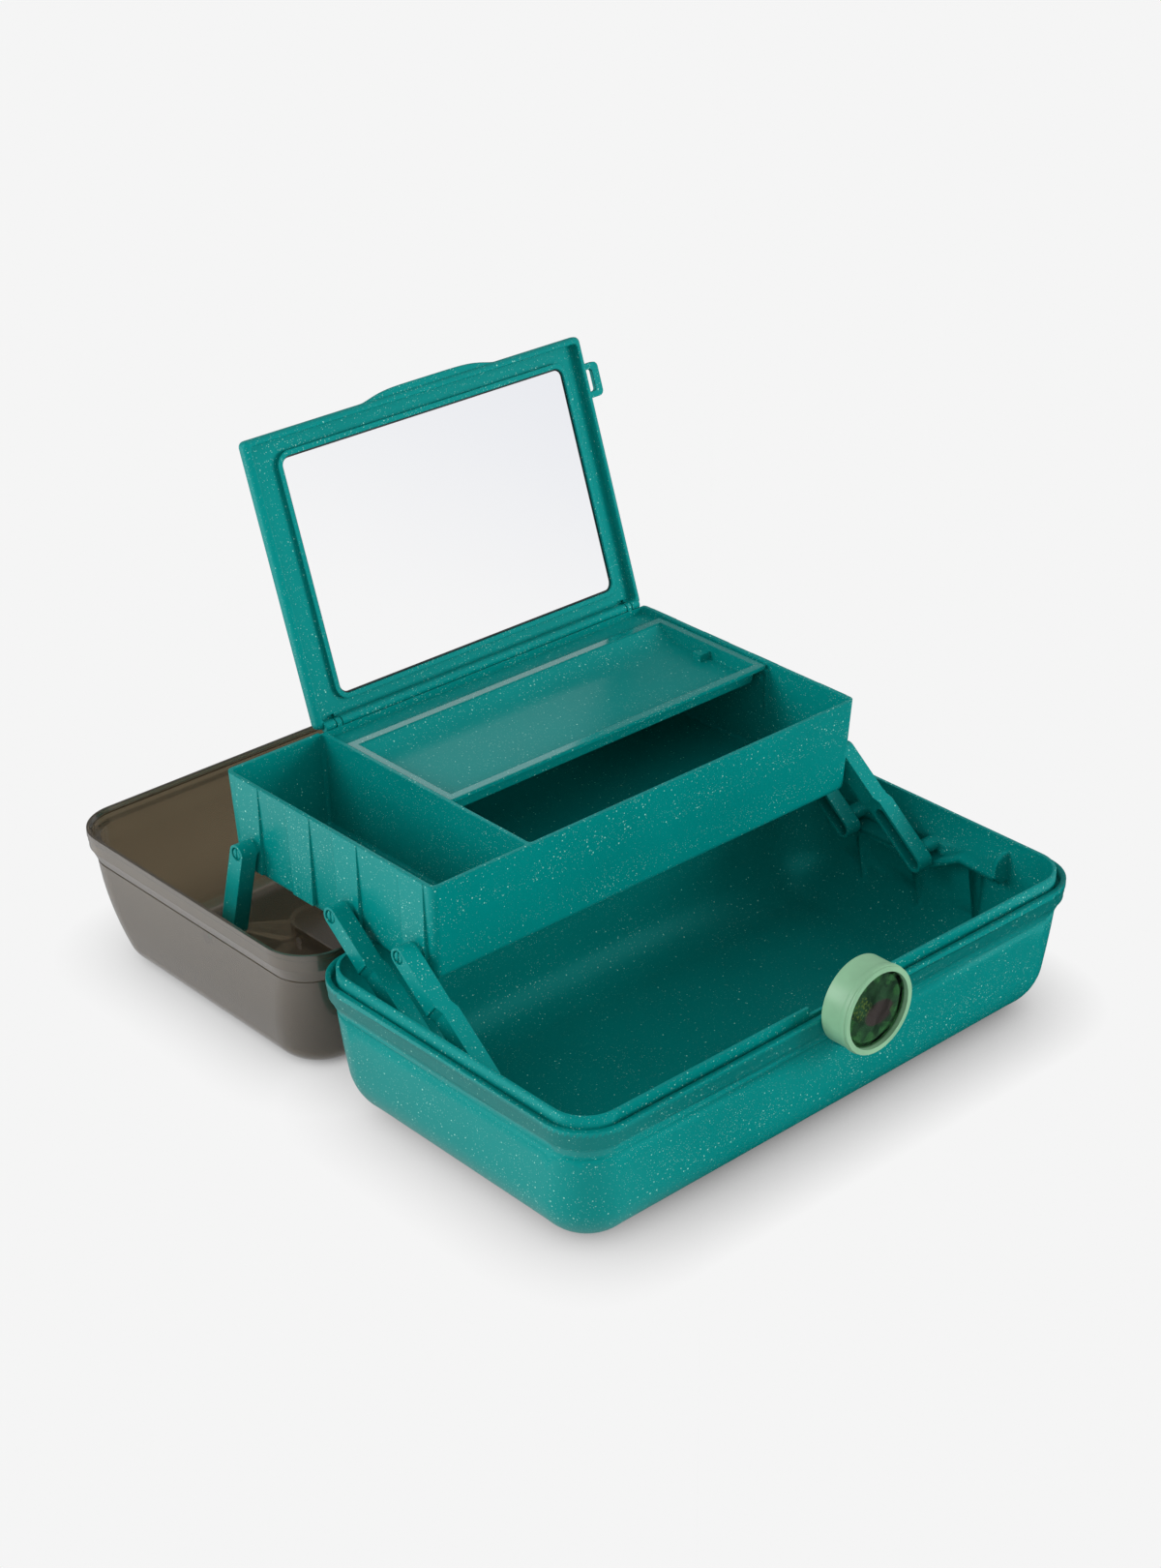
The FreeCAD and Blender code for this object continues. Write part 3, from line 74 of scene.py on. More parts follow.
class Graph:
    """A material's node tree with short calls for its nodes and links."""

    def __init__(self, name: str) -> None:
        """Starts an empty material that holds one Principled shader.

        Args:
            name: the material's name.
        """
        self.material = bpy.data.materials.new(name)
        self.material.use_nodes = True
        self.tree = self.material.node_tree
        self.shader = self.tree.nodes["Principled BSDF"]
        self.place = self.node("ShaderNodeTexCoord").outputs["Object"]

    def node(self, kind: str, **settings: object) -> bpy.types.Node:
        """Adds a node of the kind and sets its properties.

        Args:
            kind: the node's class name.
            settings: the properties to set on it.

        Returns:
            The new node.
        """
        made = self.tree.nodes.new(kind)
        for key, value in settings.items():
            setattr(made, key, value)
        return made

    def plug(self, target: bpy.types.NodeSocket, source: object) -> None:
        """Links a socket to the target, or sets the target to a plain value."""
        if isinstance(source, bpy.types.NodeSocket):
            self.tree.links.new(source, target)
        else:
            target.default_value = source

    def math(self, operation: str, *values: object, clamp: bool = False) -> bpy.types.NodeSocket:
        """Adds a Math node over the given sockets or numbers and returns its output."""
        made = self.node("ShaderNodeMath", operation=operation, use_clamp=clamp)
        for slot, value in zip(made.inputs, values):
            self.plug(slot, value)
        return made.outputs[0]

    def noise(self, scale: float, detail: float = 2.0,
              place: object = None) -> bpy.types.NodeSocket:
        """Adds a Noise texture and returns its value."""
        made = self.node("ShaderNodeTexNoise")
        self.plug(made.inputs["Vector"], place or self.place)
        made.inputs["Scale"].default_value = scale
        made.inputs["Detail"].default_value = detail
        return made.outputs[0]

    def ramp(self, value: bpy.types.NodeSocket, low: float, high: float) -> bpy.types.NodeSocket:
        """Maps a value so that low gives 0 and high gives 1, smoothly and clamped."""
        made = self.node("ShaderNodeMapRange", interpolation_type="SMOOTHSTEP")
        self.plug(made.inputs["Value"], value)
        made.inputs["From Min"].default_value = low
        made.inputs["From Max"].default_value = high
        return made.outputs["Result"]

    def blend(self, amount: object, first: object, second: object) -> bpy.types.NodeSocket:
        """Mixes two colours by an amount from 0 to 1."""
        made = self.node("ShaderNodeMix", data_type="RGBA")
        self.plug(made.inputs["Factor"], amount)
        self.plug(made.inputs["A"], first)
        self.plug(made.inputs["B"], second)
        return made.outputs["Result"]

    def bump(self, height: bpy.types.NodeSocket, depth: float, edge: float = 0.0) -> None:
        """Adds surface relief to the shader's normal, over softened edges.

        Args:
            height: the relief, from 0 to 1.
            depth: its depth in metres.
            edge: the radius, in metres, that sharp edges are softened by.
        """
        made = self.node("ShaderNodeBump")
        if edge > 0.0:
            soft = self.node("ShaderNodeBevel", samples=4)
            soft.inputs["Radius"].default_value = edge
            self.plug(made.inputs["Normal"], soft.outputs["Normal"])
        made.inputs["Strength"].default_value = 1.0
        made.inputs["Distance"].default_value = depth
        self.plug(made.inputs["Height"], height)
        self.plug(self.shader.inputs["Normal"], made.outputs["Normal"])

    def set(self, **values: object) -> None:
        """Sets the shader's sockets; underscores in a name stand for spaces."""
        for key, value in values.items():
            self.plug(self.shader.inputs[key.replace("_", " ")], value)


def rgba(red: float, green: float, blue: float) -> tuple[float, float, float, float]:
    """Returns an opaque linear colour."""
    return (red, green, blue, 1.0)


@dataclass(frozen=True)
class GlitterPlastic:
    """Moulded green plastic with fine pale flakes under its surface."""

    name: str = "green_glitter"
    colour: tuple = rgba(0.0, 0.325, 0.305)
    shade: tuple = rgba(0.0, 0.292, 0.274)
    flake: tuple = rgba(0.50, 1.0, 0.86)
    sheen: tuple = rgba(0.13, 0.95, 0.90)
    roughness: float = 0.36
    coarse: float = 430.0
    coarse_size: float = 0.12
    coarse_share: float = 0.62
    fine: float = 1000.0
    fine_size: float = 0.18
    fine_share: float = 0.80
    gloss: float = 0.0
    edge: float = 0.8 * MM

    def build(self) -> bpy.types.Material:
        """Returns the material: cloudy colour, two sizes of flake, faint orange peel."""
        graph = Graph(self.name)
        clouds = graph.ramp(graph.noise(9.0, 3.0), 0.35, 0.65)
        base = graph.blend(clouds, self.colour, self.shade)
        crowd = graph.ramp(graph.noise(26.0, 2.0), 0.42, 0.66)
        bright = self._flakes(graph, self.coarse, self.coarse_size, self.coarse_share)
        small = self._flakes(graph, self.fine, self.fine_size, self.fine_share)
        dim = graph.math("MULTIPLY", small, graph.math("MULTIPLY_ADD", crowd, 0.50, 0.34))
        flakes = graph.math("MAXIMUM", bright, dim, clamp=True)
        graph.set(Base_Color=graph.blend(flakes, base, self.flake), IOR=1.5,
                  Roughness=graph.math("SUBTRACT", self.roughness + 0.03,
                                       graph.math("MULTIPLY", clouds, 0.06)),
                  Specular_Tint=self.sheen, Coat_Weight=self.gloss, Coat_Roughness=0.12)
        graph.bump(graph.noise(900.0, 2.0), 0.01 * MM, edge=self.edge)
        return graph.material

    def _flakes(self, graph: Graph, scale: float, size: float,
                share: float) -> bpy.types.NodeSocket:
        """Round specks at scattered cell centres.

        Args:
            graph: the material's node tree.
            scale: cells in a metre.
            size: a speck's mean radius as a share of its cell.
            share: the share of cells that hold a speck.

        Returns:
            A speck's own brightness inside it and 0 outside.
        """
        cells = graph.node("ShaderNodeTexVoronoi", feature="F1")
        graph.plug(cells.inputs["Vector"], graph.place)
        cells.inputs["Scale"].default_value = scale
        split = graph.node("ShaderNodeSeparateColor")
        graph.plug(split.inputs[0], cells.outputs["Color"])
        chosen = graph.math("LESS_THAN", split.outputs[0], share)
        radius = graph.math("MULTIPLY_ADD", split.outputs[1], size, size * 0.5)
        speck = graph.math("LESS_THAN", cells.outputs["Distance"], radius)
        glint = graph.math("MULTIPLY_ADD", split.outputs[2], 0.6, 0.4)
        return graph.math("MULTIPLY", graph.math("MULTIPLY", chosen, speck), glint)


@dataclass(frozen=True)
class SmokePlastic:
    """Translucent smoke-brown plastic of the lid."""

    name: str = "smoke_plastic"
    colour: tuple = rgba(0.230, 0.178, 0.112)
    shade: tuple = rgba(0.205, 0.158, 0.099)
    roughness: float = 0.22
    see_through: float = 0.72

    def build(self) -> bpy.types.Material:
        """Returns the material: cloudy smoke with a satin skin."""
        graph = Graph(self.name)
        clouds = graph.ramp(graph.noise(7.0, 2.0), 0.3, 0.7)
        graph.set(Base_Color=graph.blend(clouds, self.colour, self.shade),
                  Roughness=graph.math("ADD", self.roughness,
                                       graph.math("MULTIPLY", graph.noise(40.0), 0.06)),
                  Transmission_Weight=self.see_through, IOR=1.52,
                  Coat_Weight=1.0, Coat_Roughness=0.12)
        graph.bump(graph.noise(800.0, 2.0), 0.0015 * MM)
        return graph.material


@dataclass(frozen=True)
class SatinPlastic:
    """Plain satin plastic in one colour with faint clouding."""

    name: str
    colour: tuple
    roughness: float = 0.4
    depth: float = 0.88

    def build(self) -> bpy.types.Material:
        """Returns the material."""
        graph = Graph(self.name)
        darker = tuple(c * self.depth for c in self.colour[:3]) + (1.0,)
        clouds = graph.ramp(graph.noise(60.0, 3.0), 0.3, 0.7)
        graph.set(Base_Color=graph.blend(clouds, self.colour, darker), IOR=1.48,
                  Roughness=graph.math("ADD", self.roughness, graph.math("MULTIPLY", clouds, 0.06)))
        graph.bump(graph.noise(1100.0, 2.0), 0.008 * MM, edge=0.3 * MM)
        return graph.material


@dataclass(frozen=True)
class MirrorSilver:
    """Silvered glass, with a painted reflection tint."""

    name: str = "mirror_silver"
    silver: tuple = rgba(0.966, 0.966, 0.968)
    painted_reflection_blue: tuple = rgba(0.868, 0.880, 0.920)

    def build(self) -> bpy.types.Material:
        """Returns the material: a near-perfect reflector whose colour carries a painted reflection,
        a little bluer towards one top corner.
        """
        graph = Graph(self.name)
        haze = graph.ramp(graph.noise(12.0, 2.0), 0.2, 0.8)
        split = graph.node("ShaderNodeSeparateXYZ")
        graph.plug(split.inputs[0], graph.place)
        # Painted reflection: the silver turns bluer towards one top corner, standing in for what
        # the glass reflects.
        painted_reflection_slope = graph.math("ADD", split.outputs[0], graph.math("MULTIPLY", split.outputs[2], 1.6))
        graph.set(Base_Color=graph.blend(graph.ramp(painted_reflection_slope, 0.22, 0.56), self.silver, self.painted_reflection_blue),
                  Metallic=1.0, Roughness=graph.math("MULTIPLY", haze, 0.012))
        return graph.material


@dataclass(frozen=True)
class ClearPlastic:
    """Clear cover over the latch's print: gloss over a nearly see-through sheet."""

    name: str = "clear_cover"

    def build(self) -> bpy.types.Material:
        """Returns the material."""
        graph = Graph(self.name)
        graph.set(Base_Color=rgba(0.03, 0.05, 0.04), Alpha=0.08, IOR=1.48,
                  Roughness=graph.math("MULTIPLY", graph.noise(50.0), 0.10))
        graph.material.surface_render_method = "BLENDED"
        return graph.material


@dataclass(frozen=True)
class DrawnSteel:
    """Steel wire of the hinge pins."""

    name: str = "drawn_steel"

    def build(self) -> bpy.types.Material:
        """Returns the material: bright steel with lengthwise drawing marks."""
        graph = Graph(self.name)
        stretch = graph.node("ShaderNodeMapping")
        graph.plug(stretch.inputs["Vector"], graph.place)
        stretch.inputs["Scale"].default_value = (20.0, 900.0, 900.0)
        marks = graph.noise(1.0, 2.0, stretch.outputs["Vector"])
        graph.set(Base_Color=rgba(0.56, 0.56, 0.55), Metallic=1.0,
                  Roughness=graph.math("ADD", 0.22, graph.math("MULTIPLY", marks, 0.25)))
        return graph.material


@dataclass(frozen=True)
class PrintedDisc:
    """Printed disc with a plain pattern of our own: a leaf wreath, seeds and a pebble."""

    name: str = "printed_disc"
    ground: tuple = rgba(0.030, 0.105, 0.050)
    moss: tuple = rgba(0.060, 0.200, 0.085)
    leaf: tuple = rgba(0.085, 0.360, 0.105)
    seed: tuple = rgba(0.330, 0.520, 0.090)
    pebble: tuple = rgba(0.125, 0.098, 0.094)
    leaf_pairs: float = 5.0
    leaf_turn: float = 0.6
    leaf_deep: float = 0.34
    wreath_out: float = 0.98
    seeds_at: tuple = (-0.46, 0.16)
    seeds_reach: float = 0.34
    pebble_at: tuple = (0.18, -0.30)
    pebble_reach: float = 0.52
    pebble_squash: float = 1.5

    def build(self) -> bpy.types.Material:
        """Returns the material: mossy ground, ten leaves round the rim, seeds and a pebble."""
        graph = Graph(self.name)
        low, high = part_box("latch_disc")
        middle, radius = (low + high) / 2, (high.x - low.x) / 2
        split = graph.node("ShaderNodeSeparateXYZ")
        graph.plug(split.inputs[0], graph.place)
        across, upward = (
            graph.math("DIVIDE", graph.math("SUBTRACT", split.outputs[axis], middle[axis]), radius)
            for axis in (0, 2))
        wobble = graph.math("MULTIPLY_ADD", graph.noise(260.0, 2.0), 0.16, -0.08)
        out = graph.math("ADD", self._length(graph, across, upward), wobble)
        turn = graph.math("ARCTAN2", upward, across)
        petal = graph.math("ABSOLUTE", graph.math(
            "SINE", graph.math("MULTIPLY_ADD", turn, self.leaf_pairs, self.leaf_turn)))
        reach = graph.math("MULTIPLY_ADD", petal, -self.leaf_deep, self.wreath_out)
        wreath = graph.math("MULTIPLY", graph.ramp(graph.math("SUBTRACT", out, reach), -0.03, 0.03),
                            graph.ramp(graph.noise(420.0, 1.0), 0.34, 0.60))
        seeds = graph.node("ShaderNodeTexVoronoi", feature="F1")
        graph.plug(seeds.inputs["Vector"], graph.place)
        seeds.inputs["Scale"].default_value = 620.0
        dots = graph.math("MULTIPLY", graph.ramp(seeds.outputs["Distance"], 0.42, 0.30),
                          self._spot(graph, across, upward, self.seeds_at, self.seeds_reach))
        stone = self._spot(graph, across, graph.math("MULTIPLY", upward, self.pebble_squash),
                           self.pebble_at, self.pebble_reach)
        mottle = graph.ramp(graph.noise(170.0, 3.0), 0.38, 0.62)
        colour = graph.blend(mottle, self.ground, self.moss)
        colour = graph.blend(stone, colour, self.pebble)
        colour = graph.blend(wreath, colour, self.leaf)
        graph.set(Base_Color=graph.blend(dots, colour, self.seed),
                  Roughness=graph.math("MULTIPLY_ADD", mottle, 0.08, 0.40), Coat_Weight=0.6,
                  Coat_Roughness=0.05)
        return graph.material

    def _length(self, graph: Graph, across: object, upward: object) -> bpy.types.NodeSocket:
        """Returns how far a point is from the middle."""
        return graph.math("SQRT", graph.math("ADD", graph.math("MULTIPLY", across, across),
                                             graph.math("MULTIPLY", upward, upward)))

    def _spot(self, graph: Graph, across: object, upward: object, centre: tuple,
              radius: float) -> bpy.types.NodeSocket:
        """Returns 1 inside a soft-edged round spot and 0 outside."""
        away = self._length(graph, graph.math("SUBTRACT", across, centre[0]),
                            graph.math("SUBTRACT", upward, centre[1]))
        return graph.ramp(away, radius, radius * 0.86)


# ------------------------------------------------------------------ sub-assemblies


@dataclass
class Dresser:
    """Gives the case's moulded nodes their finishes."""

    finishes: dict = field(default_factory=dict)

    def material(self, finish: object) -> bpy.types.Material:
        """Returns the finish's material, made once."""
        if finish.name not in self.finishes:
            self.finishes[finish.name] = finish.build()
        return self.finishes[finish.name]

    def dress(self, node: str, finish: object) -> bpy.types.Object:
        """Puts one finish on a CAD node.

        Args:
            node: the node's name.
            finish: the finish to wear.

        Returns:
            The node's object.
        """
        piece = frame["nodes"][node]
        piece.data.materials.clear()
        piece.data.materials.append(self.material(finish))
        log.info("dressed %s in %s", node, finish.name)
        return piece


GREEN = GlitterPlastic()
SMOKE = SmokePlastic()
MINT = SatinPlastic("mint_plastic", rgba(0.37, 0.70, 0.43), 0.32)
FINISHES = {
    "green_plastic": GREEN, "smoke_plastic": SMOKE, "mint_plastic": MINT,
    "printed_disc": PrintedDisc(), "clear_cover": ClearPlastic(), "mirror_glass": MirrorSilver(),
    "steel": DrawnSteel(),
}
POLISHED_GREEN = GlitterPlastic(name="green_polished", sheen=rgba(0.85, 1.0, 0.98),
                                roughness=0.15, gloss=1.0)
# Painted shade: the lid's rim beads are near black to stand in for the shade in two grooves.
GROOVE_SHADE_SMOKE = SatinPlastic("smoke_painted_groove_shade", rgba(0.030, 0.025, 0.020), 0.16)
# Painted shade: the line round the mirror's glass is near black to stand in for the shadow in the
# gap round it.
GAP_SHADE_LINE = SatinPlastic("painted_gap_shade", rgba(0.012, 0.022, 0.022), 0.30)


# ------------------------------------------------------------------ shapes


def rounded_loop(low: tuple, high: tuple, corner: float,
                 steps: int = CORNER_STEPS) -> np.ndarray:
    """Points round a rectangle with round corners, anticlockwise.

    Each corner is a quarter circle about a centre one radius in from both sides.

    Args:
        low: its lower left corner.
        high: its upper right corner.
        corner: the corners' radius.
        steps: the points in each corner.

    Returns:
        The points, one a row.
    """
    turn = np.linspace(0.0, math.pi / 2, steps)
    quarters = turn[None, :] + np.arange(4)[:, None] * math.pi / 2
    centres = np.array([(high[0] - corner, high[1] - corner), (low[0] + corner, high[1] - corner),
                        (low[0] + corner, low[1] + corner), (high[0] - corner, low[1] + corner)])
    arcs = np.stack((np.cos(quarters), np.sin(quarters)), -1) * corner + centres[:, None, :]
    return arcs.reshape(-1, 2)


def band_faces(rings: int, count: int, looped: bool = False) -> list:
    """Faces between rings of points, each point joined to the same one of the next ring.

    Args:
        rings: how many rings there are.
        count: how many points a ring has.
        looped: whether the last ring joins the first; if not, the two end rings are closed.

    Returns:
        The faces, outwards for rings that turn anticlockwise as seen from the last one.
    """
    spans = rings if looped else rings - 1
    ring = np.arange(spans)[:, None] * count
    after = ((np.arange(spans) + 1) % rings)[:, None] * count
    here, beside = np.arange(count)[None, :], (np.arange(count)[None, :] + 1) % count
    quads = np.stack((ring + here, ring + beside, after + beside, after + here), -1)
    faces = quads.reshape(-1, 4).tolist()
    if not looped:
        faces.append(list(range(count - 1, -1, -1)))
        faces.append(list(range((rings - 1) * count, rings * count)))
    return faces


def raised(loop: np.ndarray, height: float) -> np.ndarray:
    """Gives each point of a flat loop the same third coordinate."""
    return np.column_stack((loop, np.full(len(loop), height)))


def shifted(faces: list, start: int) -> list:
    """Returns faces with every corner's number raised by start."""
    return [[corner + start for corner in face] for face in faces]


@dataclass(frozen=True)
class Plane:
    """A flat place in the case: its origin and its right, up and outward directions."""

    origin: np.ndarray
    right: np.ndarray
    up: np.ndarray
    out: np.ndarray

    def place(self, points: np.ndarray) -> np.ndarray:
        """Turns rows of (right, up, out) into rows of (x, y, z)."""
        return self.origin + points @ np.stack((self.right, self.up, self.out))

    def local(self, points: np.ndarray) -> np.ndarray:
        """Turns rows of (x, y, z) into rows of (right, up, out)."""
        return (points - self.origin) @ np.stack((self.right, self.up, self.out)).T


def points_of(node: str) -> np.ndarray:
    """Returns the corners of a CAD node's mesh, one a row."""
    mesh = frame["nodes"][node].data
    flat = np.empty(len(mesh.vertices) * 3)
    mesh.vertices.foreach_get("co", flat)
    return flat.reshape(-1, 3)


def hinge_of(joint: str) -> np.ndarray:
    """Returns a point on a joint's axis, as the record gives it."""
    entry = next(item for item in frame["record"]["behaviour"]["joints"] if item["name"] == joint)
    return np.array(entry["pos_m"])


@dataclass
class Maker:
    """Makes new pieces: their mesh, material and body."""

    dresser: Dresser

    def piece(self, name: str, points: np.ndarray, faces: list, body: Body, finish: object,
              slot: str, smooth: float = 35.0) -> bpy.types.Object:
        """Makes one piece that rides on a body.

        Args:
            name: the piece's name.
            points: its corners in metres, one a row.
            faces: its faces, as lists of corners.
            body: the body that it rides on.
            finish: the finish to wear.
            slot: the record's material slot.
            smooth: the angle, in degrees, above which an edge stays sharp.

        Returns:
            The piece's object.
        """
        mesh = bpy.data.meshes.new(name)
        mesh.from_pydata(points.tolist(), [], faces)
        return self.finish_piece(name, mesh, body, finish, slot, smooth)

    def finish_piece(self, name: str, mesh: bpy.types.Mesh, body: Body, finish: object, slot: str,
                     smooth: float) -> bpy.types.Object:
        """Smooths a mesh, gives it its finish and lets it ride on its body.

        Args:
            name: the piece's name.
            mesh: its mesh.
            body: the body that it rides on.
            finish: the finish to wear.
            slot: the record's material slot; not used.
            smooth: the angle, in degrees, above which an edge stays sharp.

        Returns:
            The piece's object.
        """
        mesh.validate()
        mesh.shade_smooth()
        mesh.set_sharp_from_angle(angle=math.radians(smooth))
        mesh.materials.clear()
        mesh.materials.append(self.dresser.material(finish))
        made = bpy.data.objects.new(name, mesh)
        bpy.context.scene.collection.objects.link(made)
        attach(made, body.value)
        log.info("made %s with %d faces", name, len(mesh.polygons))
        return made


@dataclass
class MirrorTrim:
    """What the mirror's frame carries besides the glass: an edge line dark with painted shade,
    thumb grip, corner webs.
    """

    maker: Maker
    lean: float = 70.63
    glass_corner: float = 4.6 * MM
    line_width: float = 0.81 * MM
    line_outside: float = 0.045 * MM
    line_proud: float = 0.10 * MM
    line_sunk: float = 0.2 * MM
    grip_middle: float = 38.0 * MM
    grip_half: float = 44.0 * MM
    grip_rise: float = 3.4 * MM
    grip_thick: float = 3.2 * MM
    grip_root: float = 2.4 * MM
    grip_corner: float = 1.2 * MM
    grip_back: float = 1.6 * MM
    grip_stations: int = 41
    web_left: tuple = (5.5 * MM, 18.5 * MM)
    web_right: tuple = (16.5 * MM, 3.5 * MM)
    web_rise: tuple = (0.2 * MM, 5.8 * MM)
    web_rows: tuple = ((0.15 * MM, 0.3 * MM), (0.4 * MM, 0.0), (0.9 * MM, 0.0),
                       (1.15 * MM, 0.3 * MM))
    web_corner: float = 1.0 * MM
    web_steps: int = 4

    def frame(self) -> Plane:
        """Returns the mirror's plane, from its hinge up the glass."""
        angle = math.radians(self.lean)
        return Plane(hinge_of("mirror_fold"), np.array((1.0, 0.0, 0.0)),
                     np.array((0.0, math.cos(angle), math.sin(angle))),
                     np.array((0.0, -math.sin(angle), math.cos(angle))))

    def edge_line(self, plane: Plane) -> None:
        """Lays the dark line round the glass's edge, a ring of four round-cornered loops; its dark
        colour is painted shade of the gap round the glass.
        """
        glass = plane.local(points_of("mirror_glass"))
        low, high = glass.min(0), glass.max(0)
        section = ((-self.line_outside, -self.line_sunk), (-self.line_outside, self.line_proud),
                   (self.line_width, self.line_proud), (self.line_width, -self.line_sunk / 10))
        loops = [raised(rounded_loop(low[:2] + inset, high[:2] - inset, self.glass_corner - inset),
                        high[2] + height) for inset, height in section]
        self.maker.piece("mirror_edge_line", plane.place(np.concatenate(loops)),
                         band_faces(len(loops), len(loops[0]), looped=True), Body.MIRROR,
                         GAP_SHADE_LINE, "mirror_glass")

    def thumb_grip(self, plane: Plane) -> None:
        """Raises the smooth grip on the frame's top edge.

        Its height follows 1 - |t|^3 in t from -1 to 1 along the grip, eased once more, so it
        rises and falls in an S and is nearly level in between.
        """
        rim = plane.local(points_of("mirror_frame"))
        plain = rim[rim[:, 0] < self.grip_middle - self.grip_half - MM]
        tip, back = plain[:, 1].max(), rim[:, 2].min()
        share = np.linspace(-1.0, 1.0, self.grip_stations)
        bump = 1.0 - np.abs(share) ** 3
        rise = self.grip_rise * bump * bump * (3.0 - 2.0 * bump)
        section = rounded_loop((-self.grip_root, 0.0), (0.0, self.grip_thick), self.grip_corner,
                               CORNER_STEPS // 2)
        lifted = np.where(section[:, 0] > -self.grip_corner, 1.0, 0.0)
        rings = np.stack(np.broadcast_arrays(
            self.grip_middle + share[:, None] * self.grip_half,
            section[:, 0] + rise[:, None] * lifted + tip,
            section[:, 1] + back + self.grip_back), -1)
        self.maker.piece("mirror_thumb_grip", plane.place(rings.reshape(-1, 3)),
                         band_faces(len(share), len(section)), Body.MIRROR, GREEN,
                         "green_plastic", 50.0)

    def corner_caps(self, plane: Plane) -> None:
        """Closes the frame's two lower corners behind the glass with tapered webs."""
        rim = plane.local(points_of("mirror_frame"))
        foot = rim[rim[:, 1] < 20.0 * MM]
        left, right, back = foot[:, 0].min(), foot[:, 0].max(), rim[:, 2].min()
        low, high = self.web_rise
        points, faces = [], []
        for start, end in ((left + self.web_left[0], left + self.web_left[1]),
                           (right - self.web_right[0], right - self.web_right[1])):
            loops = [raised(rounded_loop((start + slack, low + slack), (end - slack, high - slack),
                                         self.web_corner, self.web_steps), back + height)
                     for height, slack in self.web_rows]
            faces += shifted(band_faces(len(loops), len(loops[0])), len(points) * len(loops[0]))
            points += loops
        self.maker.piece("mirror_corner_webs", plane.place(np.concatenate(points)), faces,
                         Body.MIRROR, GREEN, "green_plastic")

    def build(self) -> None:
        """Makes all three pieces."""
        plane = self.frame()
        self.edge_line(plane)
        self.thumb_grip(plane)
        self.corner_caps(plane)


@dataclass
class Studs:
    """Snap studs: a shank and two domed half moons with an upright slot between them."""

    maker: Maker
    shank: float = 1.8 * MM
    shank_short: float = 0.9 * MM
    head: float = 2.75 * MM
    head_thick: float = 1.2 * MM
    slot: float = 0.45 * MM
    dome: tuple = ((0.5 * MM, 1.0), (0.15 * MM, 0.86), (0.0, 0.62))
    arc_points: int = 19
    round_points: int = 24

    def half_moon(self, side: float) -> np.ndarray:
        """Returns a half disc's outline, flat along the slot, for the side -1 or 1."""
        start = math.asin(self.slot / self.head)
        turn = np.linspace(-math.pi / 2 + start, math.pi / 2 - start, self.arc_points)
        arc = np.column_stack((np.cos(turn), np.sin(turn))) * self.head
        return arc if side > 0 else -arc

    def parts(self, length: float) -> list:
        """Lists a stud's shank and half moons, each as rings of (outline, height, share kept).

        Args:
            length: the stud's length, from its root to the top of its dome.

        Returns:
            The three parts.
        """
        turn = np.linspace(0.0, 2 * math.pi, self.round_points, endpoint=False)
        rod = np.column_stack((np.cos(turn), np.sin(turn))) * self.shank
        rows = ((self.head_thick, 1.0),) + self.dome
        moons = [[(self.half_moon(side), length - below, share) for below, share in rows]
                 for side in (-1.0, 1.0)]
        return [[(rod, 0.0, 1.0), (rod, length - self.shank_short, 1.0)]] + moons

    def build(self, node: str, body: Body) -> None:
        """Makes the two studs of one node, in its place.

        Args:
            node: the CAD node, with one stud on each side of the case.
            body: the body that it rides on.
        """
        points, faces, count = [], [], 0
        cloud = points_of(node)
        for side in (-1.0, 1.0):
            stud = cloud[cloud[:, 0] * side > 0]
            low, high = stud.min(0), stud.max(0)
            middle = (low + high) / 2
            inner = low[0] if side > 0 else high[0]
            outer = high[0] if side > 0 else low[0]
            plane = Plane(np.array((inner, middle[1], middle[2])), np.array((0.0, side, 0.0)),
                          np.array((0.0, 0.0, 1.0)), np.array((side, 0.0, 0.0)))
            for rings in self.parts(abs(outer - inner)):
                for outline, height, share in rings:
                    centre = outline.mean(0)
                    points.append(plane.place(raised(centre + (outline - centre) * share, height)))
                size = len(rings[0][0])
                faces += shifted(band_faces(len(rings), size), count)
                count += len(rings) * size
        made = self.maker.piece(node + "_slotted", np.concatenate(points), faces, body, GREEN,
                                "green_plastic", 40.0)
        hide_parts(node)


@dataclass
class LatchTrim:
    """The moulded bead round the latch's drum."""

    maker: Maker
    profile: tuple = ((-0.3, 0.9), (0.25, 1.2), (0.45, 1.9), (0.45, 3.3), (0.30, 3.9),
                      (0.0, 4.1), (-0.3, 4.1))
    round_points: int = 120

    def build(self) -> None:
        """Turns one closed profile of (radius, distance behind the face) round the drum's axis."""
        low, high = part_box("latch_ring")
        radius = (high.x - low.x) / 2
        centre = np.array(((low.x + high.x) / 2, low.y, high.z - radius))
        profile = np.array(self.profile) * MM
        turn = np.linspace(0.0, 2 * math.pi, self.round_points, endpoint=False)[:, None]
        out = radius + profile[:, 0]
        rings = np.stack(np.broadcast_arrays(centre[0] + np.cos(turn) * out,
                                             centre[1] + profile[:, 1],
                                             centre[2] + np.sin(turn) * out), -1)
        self.maker.piece("latch_bead", rings.reshape(-1, 3),
                         band_faces(len(turn), len(profile), looped=True), Body.LATCH, MINT,
                         "mint_plastic", 40.0)


